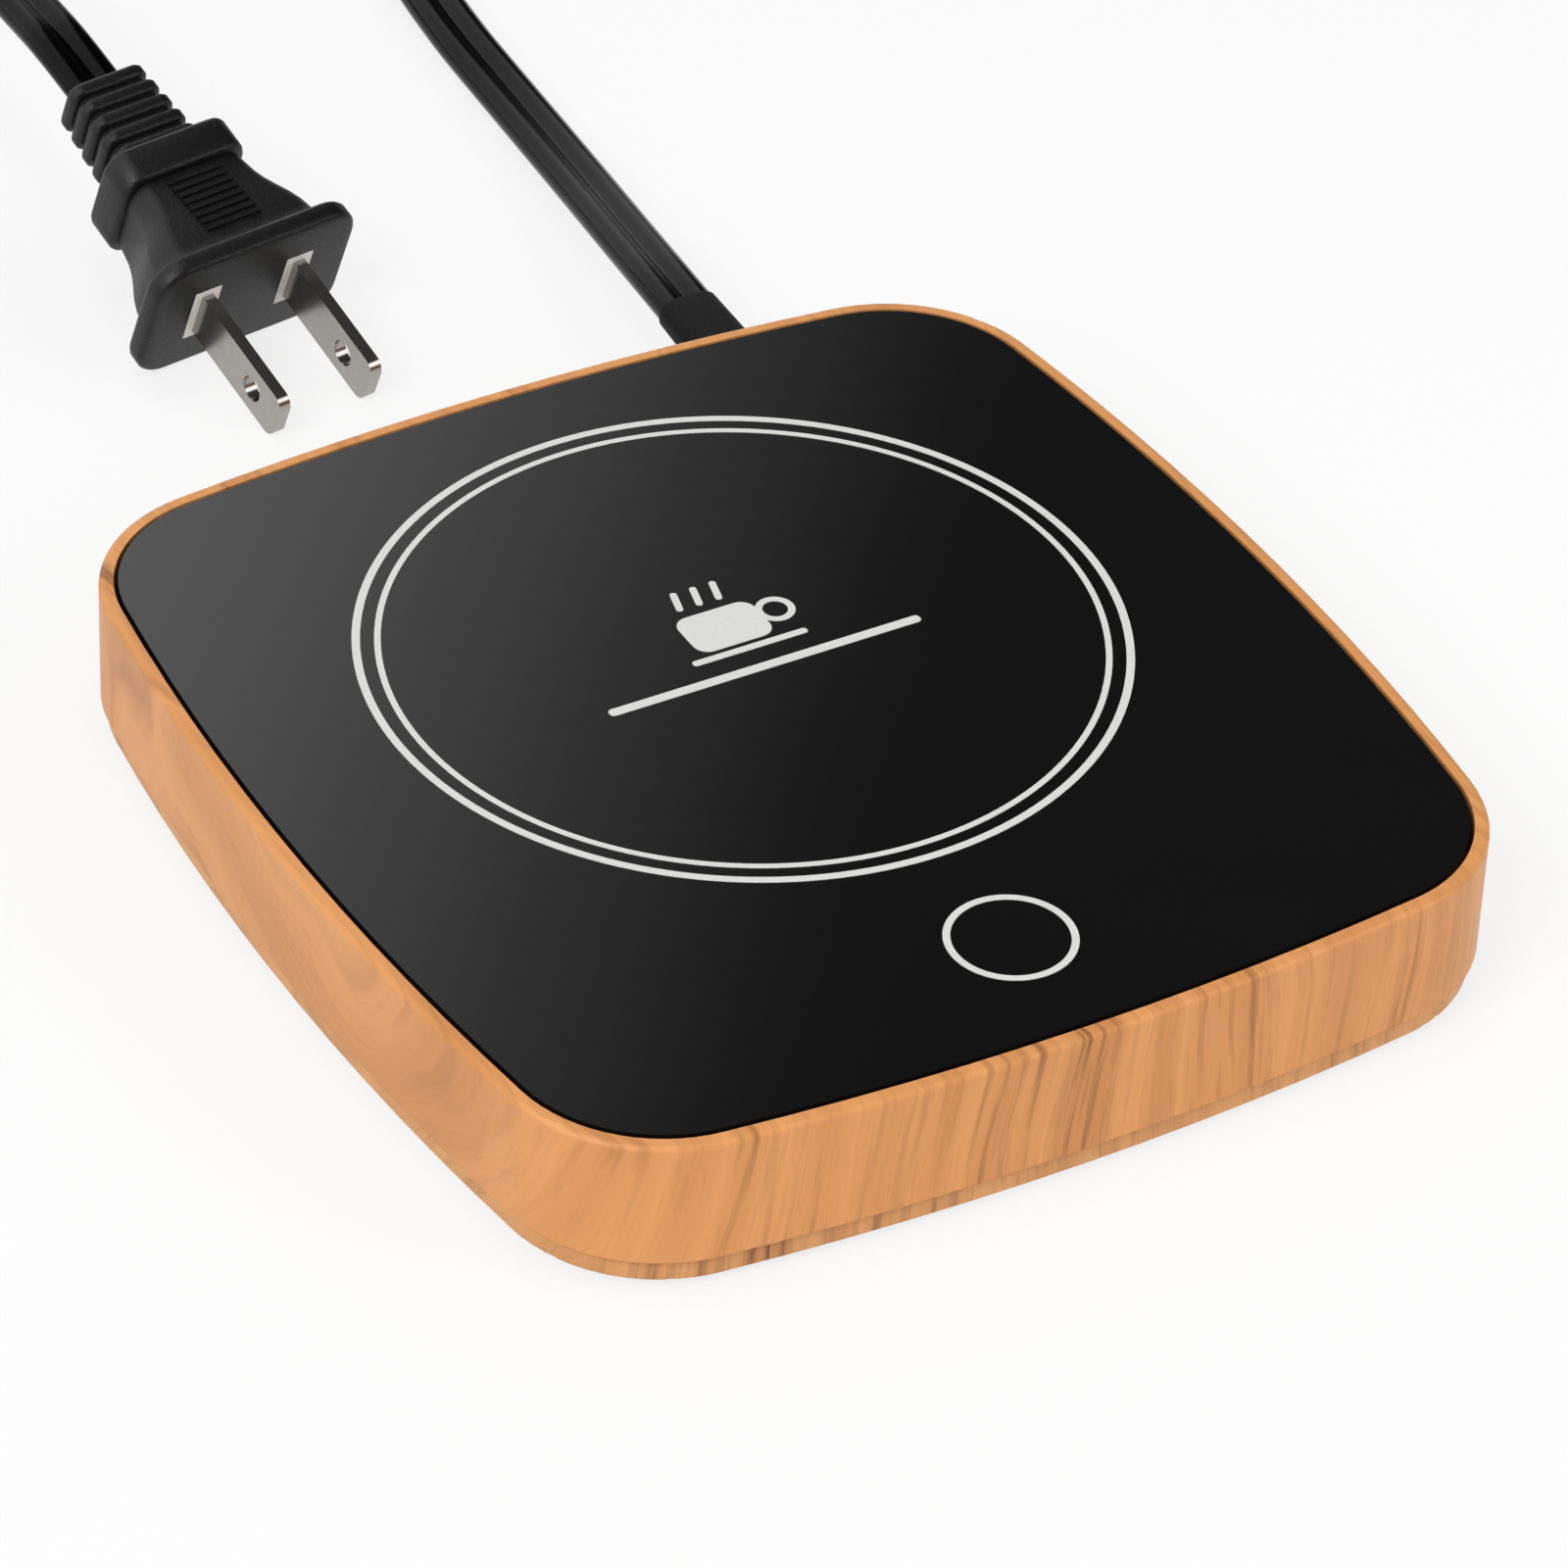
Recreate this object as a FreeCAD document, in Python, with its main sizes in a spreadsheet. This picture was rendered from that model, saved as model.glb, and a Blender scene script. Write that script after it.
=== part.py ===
import FreeCAD, Part
import math
import os
import Sketcher

# Electric mug warmer: a bowed square housing with a glass hot plate that floats on
# four springs, and a flat two-core mains lead with a two-blade plug.
# Millimetres, +Z up, z = 0 on the table, +Y to the rear where the lead leaves,
# x = y = 0 at the middle of the glass.

V = FreeCAD.Vector
doc = FreeCAD.newDocument("mug_warmer")
size = doc.addObject("Spreadsheet::Sheet", "size")

SIZES = [
    # glass plate: its outline sets that of every other piece of the shell
    ("glass_half_width", 58.0), ("glass_half_depth", 61.5), ("glass_thick", 3.0),
    ("glass_corner", 16.2), ("side_bow", 360.0), ("edge_gap", 0.5), ("glass_proud", 0.1),
    # upper shell
    ("shell_wall", 1.6), ("shell_height", 14.8), ("shell_edge_round", 0.7),
    # base tray
    ("tray_inset", 0.7), ("tray_floor", 2.0), ("tray_band", 2.7), ("seam_gap", 0.3),
    ("lip_height", 2.8), ("lip_wall", 1.5), ("lip_clearance", 0.1), ("tray_foot_round", 0.5),
    # feet
    ("foot_radius", 6.0), ("foot_proud", 1.0), ("foot_recess", 0.8), ("foot_side_in", 30.0),
    ("foot_end_in", 10.5),
    # screws that join shell and tray
    ("boss_side_in", 12.5), ("boss_end_in", 12.5), ("boss_radius", 4.0), ("boss_split", 2.0),
    ("boss_height", 7.0),
    ("screw_radius", 1.3), ("screw_head_radius", 2.6), ("screw_head_deep", 1.7),
    ("screw_head_recess", 0.4),
    ("screw_grip", 6.0), ("head_clearance", 0.2),
    # travel and retention of the hot plate
    ("press_travel", 1.0), ("frame_thick", 2.0), ("frame_inset", 1.0), ("shelf_thick", 2.0),
    ("shelf_width", 12.0), ("shelf_reach", 8.3), ("shelf_back", 20.0), ("hook_side_in", 8.6),
    ("hook_thick", 1.5),
    ("hook_width", 8.0), ("hook_barb", 1.4), ("hook_clearance", 0.15), ("barb_height", 1.5),
    # guide pins
    ("pin_side_in", 8.5), ("pin_radius", 2.0), ("pin_boss_radius", 3.8), ("pin_boss_height", 4.0),
    ("pin_sleeve_radius", 3.4), ("pin_sleeve_height", 4.0), ("pin_fit", 0.05), ("pin_height", 11.5),
    # return springs
    ("spring_side_in", 18.0), ("spring_end_in", 30.5), ("spring_radius", 2.8), ("spring_wire", 0.3),
    ("spring_turns", 5.0),
    ("cup_radius", 4.6), ("cup_height", 1.0), ("cup_rim", 1.5), ("cup_wall", 1.0), ("spring_stem", 1.9),
    ("stem_height", 3.0),
    # heater stack
    ("heat_back", 10.2),
    ("spreader_radius", 38.0), ("spreader_thick", 1.2), ("spreader_gap", 0.4), ("heater_radius", 36.5),
    ("heater_thick", 0.8), ("heater_hole", 4.0), ("sheet_radius", 37.5), ("sheet_thick", 1.2),
    ("press_plate_thick", 0.8),
    ("ear_radius", 4.0), ("ear_reach", 43.0), ("ear_angle", 64.0), ("ear_screw_radius", 1.1),
    ("ear_head_radius", 2.1),
    ("ear_head_high", 1.2),
    # thermal fuse and temperature sensor
    ("cutout_radius", 1.9), ("cutout_length", 11.0), ("cutout_back", 16.0), ("clip_thick", 0.6),
    ("clip_width", 5.0),
    ("sensor_radius", 1.2), ("sensor_length", 6.0), ("sensor_back", -2.0),
    # control board
    ("board_half_width", 29.0), ("board_front_in", 5.5), ("board_deep", 40.0), ("board_thick", 1.6),
    ("board_rise", 1.2),
    ("post_radius", 2.6), ("post_across", 25.5), ("post_inset", 3.5), ("board_screw_radius", 1.0),
    ("board_head_radius", 1.9), ("board_head_high", 1.1),
    # ring light on the touch key
    ("key_front_in", 15.1), ("key_light_radius", 7.2), ("key_light_bore", 5.8), ("key_light_drop", 4.0),
    ("lamp_size", 1.6),
    ("lamp_high", 0.7), ("lamp_ring", 6.2),
    # plate switch
    ("switch_across", -17.0), ("switch_front_in", 11.0), ("switch_long", 12.8), ("switch_wide", 5.8),
    ("switch_high", 5.6),
    ("plunger_radius", 1.2), ("plunger_proud", 1.4), ("plunger_deep", 3.0), ("plunger_fit", 0.05),
    ("finger_radius", 2.0),
    # parts on the board
    ("film_long", 13.0), ("film_wide", 5.0), ("film_high", 4.2), ("drum_radius", 2.5), ("drum_long", 8.0),
    ("terminal_long", 15.0), ("terminal_wide", 7.0), ("terminal_high", 4.2), ("power_switch_long", 6.6),
    ("power_switch_wide", 6.1), ("power_switch_high", 2.3), ("chip_long", 8.6), ("chip_wide", 3.9),
    ("chip_high", 1.5),
    ("board_fuse_radius", 1.7), ("board_fuse_long", 10.0), ("wire_radius", 0.9), ("lead_radius", 0.7),
    # flat mains lead and where it leaves
    ("cord_wide", 7.1), ("cord_high", 3.6), ("exit_side_in", 25.0), ("exit_rise", 8.0),
    ("bush_wide", 10.6),
    ("bush_high", 7.0), ("bush_flange", 1.5), ("bush_flange_deep", 1.6), ("bush_tail", 15.0),
    ("bush_tail_wide", 8.6),
    ("bush_tail_high", 5.2), ("bush_round", 1.6), ("cord_inside", 20.0), ("grip_long", 7.0),
    ("grip_high", 1.6),
    ("grip_wide", 16.4), ("grip_end_in", 15.5), ("grip_screw_apart", 6.2), ("grip_post_radius", 2.0),
    # two-blade plug: it stands on its blade tips and the foot of its flange, tail up
    ("plug_x", -10.0), ("plug_y", 106.2), ("plug_z", 8.75), ("plug_heading", 8.0), ("plug_tilt", 20.8),
    ("flange_wide", 27.5), ("flange_high", 18.5), ("flange_round", 4.2), ("flange_deep", 2.8),
    ("shoulder_wide", 21.6), ("shoulder_high", 14.6), ("shoulder_back", 6.0), ("waist_wide", 15.4),
    ("waist_high", 11.4), ("waist_back", 11.5),
    ("collar_wide", 17.6), ("collar_high", 13.6), ("collar_back", 15.2), ("collar_deep", 5.0),
    ("body_round", 3.4), ("blade_apart", 12.7), ("blade_wide", 6.35), ("blade_thick", 1.5),
    ("blade_long", 17.0),
    ("blade_root", 4.0), ("blade_hole", 1.6), ("blade_hole_back", 11.7), ("window_wide", 3.6),
    ("window_high", 8.2),
    ("window_deep", 0.6), ("grip_ribs", 8.0), ("rib_wide", 7.4), ("rib_thick", 0.55), ("rib_pitch", 1.15),
    ("rib_start", 5.6),
    ("rib_high", 0.5), ("relief_long", 13.0), ("relief_wide", 11.4), ("relief_high", 8.8),
    ("relief_end_wide", 9.2),
    ("relief_end_high", 6.0), ("relief_slot", 1.0), ("relief_slots", 4.0), ("relief_slot_deep", 1.2),
    ("relief_round", 1.9),
]
for row, (name, value) in enumerate(SIZES, 1):
    size.set(f"A{row}", str(value))
    size.setAlias(f"A{row}", name)
doc.recompute()

# Levels above the table, from the table up.
FLOOR_LOW = "size.foot_proud"
FLOOR_TOP = f"({FLOOR_LOW} + size.tray_floor)"
BAND_TOP = f"({FLOOR_LOW} + size.tray_band)"
LIP_TOP = f"({BAND_TOP} + size.lip_height)"
SPLIT = f"({FLOOR_TOP} + size.boss_split)"
SHELL_LOW = f"({BAND_TOP} + size.seam_gap)"
SHELL_TOP = f"({SHELL_LOW} + size.shell_height)"
GLASS_LOW = f"({SHELL_TOP} + size.glass_proud - size.glass_thick)"
FRAME_LOW = f"({GLASS_LOW} - size.frame_thick)"
SHELF_TOP = f"({FRAME_LOW} - size.press_travel)"
SHELF_LOW = f"({SHELF_TOP} - size.shelf_thick)"
SPREADER_LOW = f"({GLASS_LOW} - size.spreader_thick)"
HEATER_LOW = f"({SPREADER_LOW} - size.heater_thick)"
SHEET_LOW = f"({HEATER_LOW} - size.sheet_thick)"
PRESS_LOW = f"({SHEET_LOW} - size.press_plate_thick)"
BOARD_LOW = f"({FLOOR_TOP} + size.board_rise)"
BOARD_TOP = f"({BOARD_LOW} + size.board_thick)"
SPRING_LOW = f"({FLOOR_TOP} + size.cup_height)"
SWITCH_TOP = f"({BOARD_TOP} + size.switch_high)"
PLUNGER_TOP = f"({SWITCH_TOP} + size.plunger_proud)"

# Offsets of the bowed square from the glass outline.
SHELL_IN = "size.edge_gap"
SHELL_OUT = "(size.edge_gap + size.shell_wall)"
TRAY_OUT = f"({SHELL_OUT} - size.tray_inset)"
LIP_OUT = "(size.edge_gap - size.lip_clearance)"
LIP_IN = f"({LIP_OUT} - size.lip_wall)"
FRAME_OUT = "(-size.frame_inset)"

EXIT_X = "(size.glass_half_width - size.exit_side_in)"
REAR_WALL = ("(size.glass_half_depth + size.edge_gap + size.shell_wall"
             f" - {EXIT_X} * {EXIT_X} / (2 * size.side_bow))")

# Places inside, measured in from the glass edge.
FOOT_X, FOOT_Y = "(size.glass_half_width - size.foot_side_in)", "(size.glass_half_depth - size.foot_end_in)"
BOSS_X, BOSS_Y = "(size.glass_half_width - size.boss_side_in)", "(size.glass_half_depth - size.boss_end_in)"
SPRING_X = "(size.glass_half_width - size.spring_side_in)"
SPRING_Y = "(size.glass_half_depth - size.spring_end_in)"
HOOK_X = "(size.glass_half_width - size.hook_side_in)"
PIN_X = "(size.glass_half_width - size.pin_side_in)"
KEY_Y = "(size.key_front_in - size.glass_half_depth)"
HEAT_Y = "size.heat_back"
CUTOUT_Y = "(size.heat_back + size.cutout_back)"
SENSOR_Y = "(size.heat_back + size.sensor_back)"
SWITCH_Y = "(size.switch_front_in - size.glass_half_depth)"
GRIP_Y = "(size.glass_half_depth - size.grip_end_in)"
BOARD_FRONT = "(size.board_front_in - size.glass_half_depth)"
BOARD_REAR = f"({BOARD_FRONT} + size.board_deep)"
PLUG = ("placement(vector(size.plug_x; size.plug_y; size.plug_z);"
        " rotation(size.plug_heading; 0; size.plug_tilt))")


def value(expression):
    """The number that an expression on the sheet gives."""
    return float(FreeCAD.Units.Quantity(size.evalExpression(expression)).Value)


def bind(obj, **expressions):
    for prop, expression in expressions.items():
        obj.setExpression(prop, str(expression))
    return obj


def place(obj, x, y, z, frame=None, turn="rotation(0; 0; 0)"):
    spot = f"placement(vector({x}; {y}; {z}); {turn})"
    obj.setExpression("Placement", f"{frame} * {spot}" if frame else spot)
    return obj


def box(name, x, y, z, wide, deep, high, frame=None, turn=None):
    """A block whose middle in x and y stands at x, y and whose foot is at z."""
    block = bind(doc.addObject("Part::Box", name), Length=wide, Width=deep, Height=high)
    if turn:
        centred = f"placement(vector(-({wide}) / 2; -({deep}) / 2; 0); rotation(0; 0; 0))"
        spot = f"placement(vector({x}; {y}; {z}); {turn}) * {centred}"
        block.setExpression("Placement", f"{frame} * {spot}" if frame else spot)
        return block
    return place(block, f"{x} - ({wide}) / 2", f"{y} - ({deep}) / 2", z, frame)


def rod(name, x, y, z, radius, high, frame=None, turn="rotation(0; 0; 0)"):
    return place(bind(doc.addObject("Part::Cylinder", name), Radius=radius, Height=high), x, y, z, frame,
                 turn)


LIE_ALONG_X = "rotation(0; 90; 0)"
LIE_ALONG_Y = "rotation(0; 0; -90)"


def joined(name, pieces):
    whole = doc.addObject("Part::MultiFuse", name)
    whole.Shapes = pieces
    whole.Refine = True
    return whole


def carved(name, base, tools):
    result = doc.addObject("Part::Cut", name)
    result.Base = base
    result.Tool = tools[0] if len(tools) == 1 else joined(name + "_room", tools)
    result.Refine = True
    return result


def group(name, pieces):
    several = doc.addObject("Part::Compound", name)
    several.Links = pieces
    return several


CORNERS = [(1, 1), (-1, 1), (-1, -1), (1, -1)]


def at_corners(make, across, back, middle="0"):
    """Calls make(number, x, y) once for each of four places mirrored about x = 0 and y = middle."""
    return [make(n, f"({i} * ({across}))", f"({middle} + {j} * ({back}))")
            for n, (i, j) in enumerate(CORNERS, 1)]


def drive(sketch, constraint, expression):
    number = sketch.addConstraint(constraint)
    sketch.setExpression(f"Constraints[{number}]", expression)


def new_sketch(body, name, role, offset):
    sketch = body.newObject("Sketcher::SketchObject", name)
    plane = [f for f in body.Origin.OriginFeatures if f.Role == role][0]
    sketch.AttachmentSupport = [(plane, "")]
    sketch.MapMode = "FlatFace"
    sketch.setExpression("AttachmentOffset.Base.z", offset)
    return sketch


def add_bowed_square(sketch, offset):
    """Four bowed sides and four round corners, all set off from the glass outline."""
    grow = value(offset)
    across = size.glass_half_width + grow
    back = size.glass_half_depth + grow
    bow = size.side_bow + grow
    corner = size.glass_corner + grow
    # the corner's centre lies at bow - corner from the centres of both its sides
    ax, by = bow - across, bow - back
    reach = math.hypot(ax, by)
    rise = math.sqrt((bow - corner) ** 2 - reach ** 2 / 4)
    cx = -ax / 2 + rise * by / reach
    cy = -by / 2 + rise * ax / reach
    side = math.atan2(cy, cx + ax)
    end = math.atan2(cx, cy + by)
    half = math.pi / 2
    arcs = [((-ax, 0), bow, -side, side), ((cx, cy), corner, side, half - end),
            ((0, -by), bow, half - end, half + end), ((-cx, cy), corner, half + end, 2 * half - side),
            ((ax, 0), bow, 2 * half - side, 2 * half + side),
            ((-cx, -cy), corner, 2 * half + side, 3 * half - end),
            ((0, by), bow, 3 * half - end, 3 * half + end),
            ((cx, -cy), corner, 3 * half + end, 4 * half - side)]
    first = sketch.GeometryCount
    for (x, y), radius, start, stop in arcs:
        sketch.addGeometry(Part.ArcOfCircle(Part.Circle(V(x, y, 0), V(0, 0, 1), radius), start, stop),
                           False)
    for n in range(8):
        sketch.addConstraint(Sketcher.Constraint("Tangent", first + n, 2, first + (n + 1) % 8, 1))
    for n in (0, 2, 4, 6):
        drive(sketch, Sketcher.Constraint("Radius", first + n, bow), f"size.side_bow + {offset}")
        drive(sketch, Sketcher.Constraint("Radius", first + n + 1, corner),
              f"size.glass_corner + {offset}")
    wide, deep = "size.side_bow - size.glass_half_width", "size.side_bow - size.glass_half_depth"
    drive(sketch, Sketcher.Constraint("DistanceX", first, 3, -1, 1, ax), wide)
    drive(sketch, Sketcher.Constraint("DistanceX", -1, 1, first + 4, 3, ax), wide)
    drive(sketch, Sketcher.Constraint("DistanceY", first + 2, 3, -1, 1, by), deep)
    drive(sketch, Sketcher.Constraint("DistanceY", -1, 1, first + 6, 3, by), deep)
    for n, axis in ((0, -1), (4, -1), (2, -2), (6, -2)):
        sketch.addConstraint(Sketcher.Constraint("PointOnObject", first + n, 3, axis))


def add_round_block(sketch, wide, high, corner):
    """A rectangle with round corners, centred on the sketch's own middle."""
    x, y, r = value(wide) / 2, value(high) / 2, value(corner)
    half = math.pi / 2
    first = sketch.GeometryCount
    turns = [((x - r, y - r), 0), ((r - x, y - r), half), ((r - x, r - y), 2 * half),
             ((x - r, r - y), 3 * half)]
    for (cx, cy), start in turns:
        sketch.addGeometry(Part.ArcOfCircle(Part.Circle(V(cx, cy, 0), V(0, 0, 1), r), start,
                                            start + half), False)
    ends = [((x - r, y), (r - x, y)), ((-x, y - r), (-x, r - y)), ((r - x, -y), (x - r, -y)),
            ((x, r - y), (x, y - r))]
    for (px, py), (qx, qy) in ends:
        sketch.addGeometry(Part.LineSegment(V(px, py, 0), V(qx, qy, 0)), False)
    for n in range(4):
        sketch.addConstraint(Sketcher.Constraint("Tangent", first + n, 2, first + 4 + n, 1))
        sketch.addConstraint(Sketcher.Constraint("Tangent", first + 4 + n, 2, first + (n + 1) % 4, 1))
        sketch.addConstraint(Sketcher.Constraint("Vertical" if n % 2 else "Horizontal", first + 4 + n))
    for n in (1, 2, 3):
        sketch.addConstraint(Sketcher.Constraint("Equal", first, first + n))
    sketch.addConstraint(Sketcher.Constraint("Symmetric", first, 3, first + 2, 3, -1, 1))
    drive(sketch, Sketcher.Constraint("Radius", first, r), corner)
    drive(sketch, Sketcher.Constraint("DistanceX", first + 2, 3, first, 3, 2 * (x - r)),
          f"{wide} - 2 * ({corner})")
    drive(sketch, Sketcher.Constraint("DistanceY", first + 2, 3, first, 3, 2 * (y - r)),
          f"{high} - 2 * ({corner})")


def pad(body, name, sketch, length):
    return bind_feature(body, "PartDesign::Pad", name, sketch, length)


def bind_feature(body, kind, name, sketch, length):
    feature = body.newObject(kind, name)
    feature.Profile = sketch
    feature.setExpression("Length", length)
    sketch.Visibility = False
    return feature


def new_body(name):
    return doc.addObject("PartDesign::Body", name)


# Glass plate.
glass = new_body("glass_plate")
glass_outline = new_sketch(glass, "glass_outline", "XY_Plane", GLASS_LOW)
add_bowed_square(glass_outline, "0")
glass_pad = pad(glass, "glass_slab", glass_outline, "size.glass_thick")

# Upper shell: a wall all round, bosses in the corners and shelves for the hooks.
shell_wall = new_body("shell_wall_ring")
shell_outline = new_sketch(shell_wall, "shell_outline", "XY_Plane", SHELL_LOW)
add_bowed_square(shell_outline, SHELL_OUT)
add_bowed_square(shell_outline, SHELL_IN)
shell_pad = pad(shell_wall, "shell_walls", shell_outline, "size.shell_height")
doc.recompute()
top = value(SHELL_TOP)
bow_out = value(f"size.side_bow + {SHELL_OUT}")
corner_out = value(f"size.glass_corner + {SHELL_OUT}")
rim = [f"Edge{n}" for n, e in enumerate(shell_pad.Shape.Edges, 1)
       if abs(e.BoundBox.ZMin - top) < 1e-6 and abs(e.BoundBox.ZMax - top) < 1e-6
       and min(abs(e.Curve.Radius - bow_out), abs(e.Curve.Radius - corner_out)) < 1e-4]
shell_edge = shell_wall.newObject("PartDesign::Fillet", "shell_top_edge")
shell_edge.Base = (shell_pad, rim)
shell_edge.setExpression("Radius", "size.shell_edge_round")

shell_bosses = at_corners(lambda n, x,
                          y: rod(f"shell_boss_{n}", x, y, SPLIT, "size.boss_radius", "size.boss_height"),
                          BOSS_X, BOSS_Y)
shell_webs = at_corners(
    lambda n, x, y: box(f"shell_web_{n}", x, y, f"({LIP_TOP} + size.seam_gap)", "2 * size.boss_radius",
                        "1.5 * size.boss_radius",
                        f"{SPLIT} + size.boss_height - {LIP_TOP} - size.seam_gap",
                        turn=f"rotation({45 if CORNERS[n - 1][0] * CORNERS[n - 1][1] > 0 else -45}; 0; 0)"),
    f"({BOSS_X} + 0.75 * size.boss_radius)", f"({BOSS_Y} + 0.75 * size.boss_radius)")
shelves = at_corners(
    lambda n, x, y: box(f"shell_shelf_{n}", x, y, SHELF_LOW, "size.shelf_reach", "size.shelf_width",
                        "size.shelf_thick"),
    f"({HOOK_X} + size.hook_thick / 2 + size.hook_clearance + size.shelf_reach / 2)", "size.shelf_back")
thread_holes = at_corners(
    lambda n, x, y: rod(f"shell_thread_{n}", x, y, SPLIT, "size.screw_radius", "size.screw_grip"),
    BOSS_X, BOSS_Y)
bush_slot = box("shell_bush_slot", EXIT_X, REAR_WALL, f"{SHELL_LOW} - 1", "size.bush_wide",
                "6 * size.shell_wall",
                f"size.exit_rise + size.bush_high / 2 - {SHELL_LOW} + 1")
top_housing = carved("top_housing",
                     joined("shell_with_bosses", [shell_wall] + shell_bosses + shell_webs + shelves),
                     thread_holes + [bush_slot])

# Base tray: a floor with an outer band, an inner lip, and posts for what it carries.
tray = new_body("tray_shell")
band_sketch = new_sketch(tray, "band_outline", "XY_Plane", FLOOR_LOW)
add_bowed_square(band_sketch, TRAY_OUT)
band_pad = pad(tray, "tray_band_block", band_sketch, "size.tray_band")
lip_sketch = new_sketch(tray, "lip_outline", "XY_Plane", BAND_TOP)
add_bowed_square(lip_sketch, LIP_OUT)
lip_pad = pad(tray, "tray_lip_block", lip_sketch, "size.lip_height")
inner_sketch = new_sketch(tray, "tray_inner_outline", "XY_Plane", LIP_TOP)
add_bowed_square(inner_sketch, LIP_IN)
hollow = bind_feature(tray, "PartDesign::Pocket", "tray_hollow", inner_sketch, f"{LIP_TOP} - {FLOOR_TOP}")
doc.recompute()
low = value(FLOOR_LOW)
foot_edges = [f"Edge{n}" for n, e in enumerate(hollow.Shape.Edges, 1)
              if abs(e.BoundBox.ZMin - low) < 1e-6 and abs(e.BoundBox.ZMax - low) < 1e-6]
tray_edge = tray.newObject("PartDesign::Fillet", "tray_bottom_edge")
tray_edge.Base = (hollow, foot_edges)
tray_edge.setExpression("Radius", "size.tray_foot_round")

tray_bosses = at_corners(lambda n, x, y: rod(f"tray_boss_{n}", x, y, FLOOR_LOW, "size.boss_radius",
                                             f"{SPLIT} - {FLOOR_LOW}"),
                         BOSS_X, BOSS_Y)
cups = at_corners(lambda n, x, y: rod(f"tray_cup_{n}", x, y, FLOOR_LOW, "size.cup_radius",
                                      f"{SPRING_LOW} - {FLOOR_LOW} + size.cup_rim"),
                  SPRING_X, SPRING_Y)
cup_rooms = at_corners(lambda n, x, y: rod(f"cup_room_{n}", x, y, SPRING_LOW,
                                           "size.cup_radius - size.cup_wall", "size.cup_rim + 1"),
                       SPRING_X, SPRING_Y)
stems = at_corners(lambda n, x,
                   y: rod(f"tray_stem_{n}", x, y, SPRING_LOW, "size.spring_stem", "size.stem_height"),
                   SPRING_X, SPRING_Y)
pin_bosses = [rod(f"pin_boss_{n}", f"{i} * {PIN_X}", "0", FLOOR_LOW, "size.pin_boss_radius",
                  f"size.tray_floor + size.pin_boss_height") for n, i in ((1, 1), (2, -1))]
pin_holes = [rod(f"pin_hole_{n}", f"{i} * {PIN_X}", "0", FLOOR_TOP, "size.pin_radius",
                 "size.pin_boss_height + 1")
             for n, i in ((1, 1), (2, -1))]
POST_FRONT = f"({BOARD_FRONT} + size.post_inset)"
POST_REAR = f"({BOARD_REAR} - size.post_inset)"
board_spots = [("size.post_across", POST_FRONT), ("-size.post_across", POST_FRONT),
               ("size.post_across", POST_REAR), ("-size.post_across", POST_REAR)]
board_posts = [rod(f"board_post_{n}", x, y, FLOOR_LOW, "size.post_radius", f"{BOARD_LOW} - {FLOOR_LOW}")
               for n, (x, y) in enumerate(board_spots, 1)]
post_holes = [rod(f"post_hole_{n}", x, y, FLOOR_TOP, "size.board_screw_radius", "size.board_rise + 1")
              for n, (x, y) in enumerate(board_spots, 1)]
GRIP_LOW = "(size.exit_rise + size.cord_high / 2)"
SADDLE_TOP = "(size.exit_rise - size.cord_high / 2)"
grip_saddle = box("grip_saddle", EXIT_X, GRIP_Y, FLOOR_LOW, "size.cord_wide",
                  "size.grip_long",
                  f"{SADDLE_TOP} - {FLOOR_LOW}")
grip_spots = [f"({EXIT_X} + {i} * size.grip_screw_apart)" for i in (1, -1)]
grip_posts = [rod(f"grip_post_{n}", x, GRIP_Y, FLOOR_LOW, "size.grip_post_radius",
                  f"{GRIP_LOW} - {FLOOR_LOW}")
              for n, x in enumerate(grip_spots, 1)]
grip_holes = [rod(f"grip_hole_{n}", x, GRIP_Y, FLOOR_TOP, "size.board_screw_radius", "size.exit_rise")
              for n, x in enumerate(grip_spots, 1)]
tray_solid = joined("tray_with_posts",
                    [tray] + tray_bosses + cups + pin_bosses + board_posts + [grip_saddle] + grip_posts)
head_rooms = at_corners(
    lambda n, x, y: rod(f"head_room_{n}", x, y, f"{FLOOR_LOW} - 1",
                        "size.screw_head_radius + size.head_clearance",
                        "1 + size.screw_head_recess + size.screw_head_deep"), BOSS_X, BOSS_Y)
shank_holes = at_corners(lambda n, x,
                         y: rod(f"shank_hole_{n}", x, y, f"{FLOOR_LOW} - 1", "size.screw_radius", "20"),
                         BOSS_X, BOSS_Y)
foot_rooms = at_corners(lambda n, x, y: rod(f"foot_room_{n}", x, y, f"{FLOOR_LOW} - 1",
                                            "size.foot_radius", "1 + size.foot_recess"),
                        FOOT_X, FOOT_Y)
lip_slot = box("tray_bush_slot", EXIT_X, REAR_WALL, "size.exit_rise - size.bush_high / 2",
               "size.bush_wide",
               "10 * size.shell_wall", "20")
tray_cut = carved("tray_cut", tray_solid,
                  cup_rooms + pin_holes + post_holes + grip_holes + head_rooms + shank_holes
                  + foot_rooms + [lip_slot])
base_tray = joined("base_tray", [tray_cut] + stems)

rubber_feet = group("rubber_feet", at_corners(
    lambda n, x, y: rod(f"foot_{n}", x, y, "0", "size.foot_radius", "size.foot_proud + size.foot_recess"),
    FOOT_X, FOOT_Y))


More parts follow.
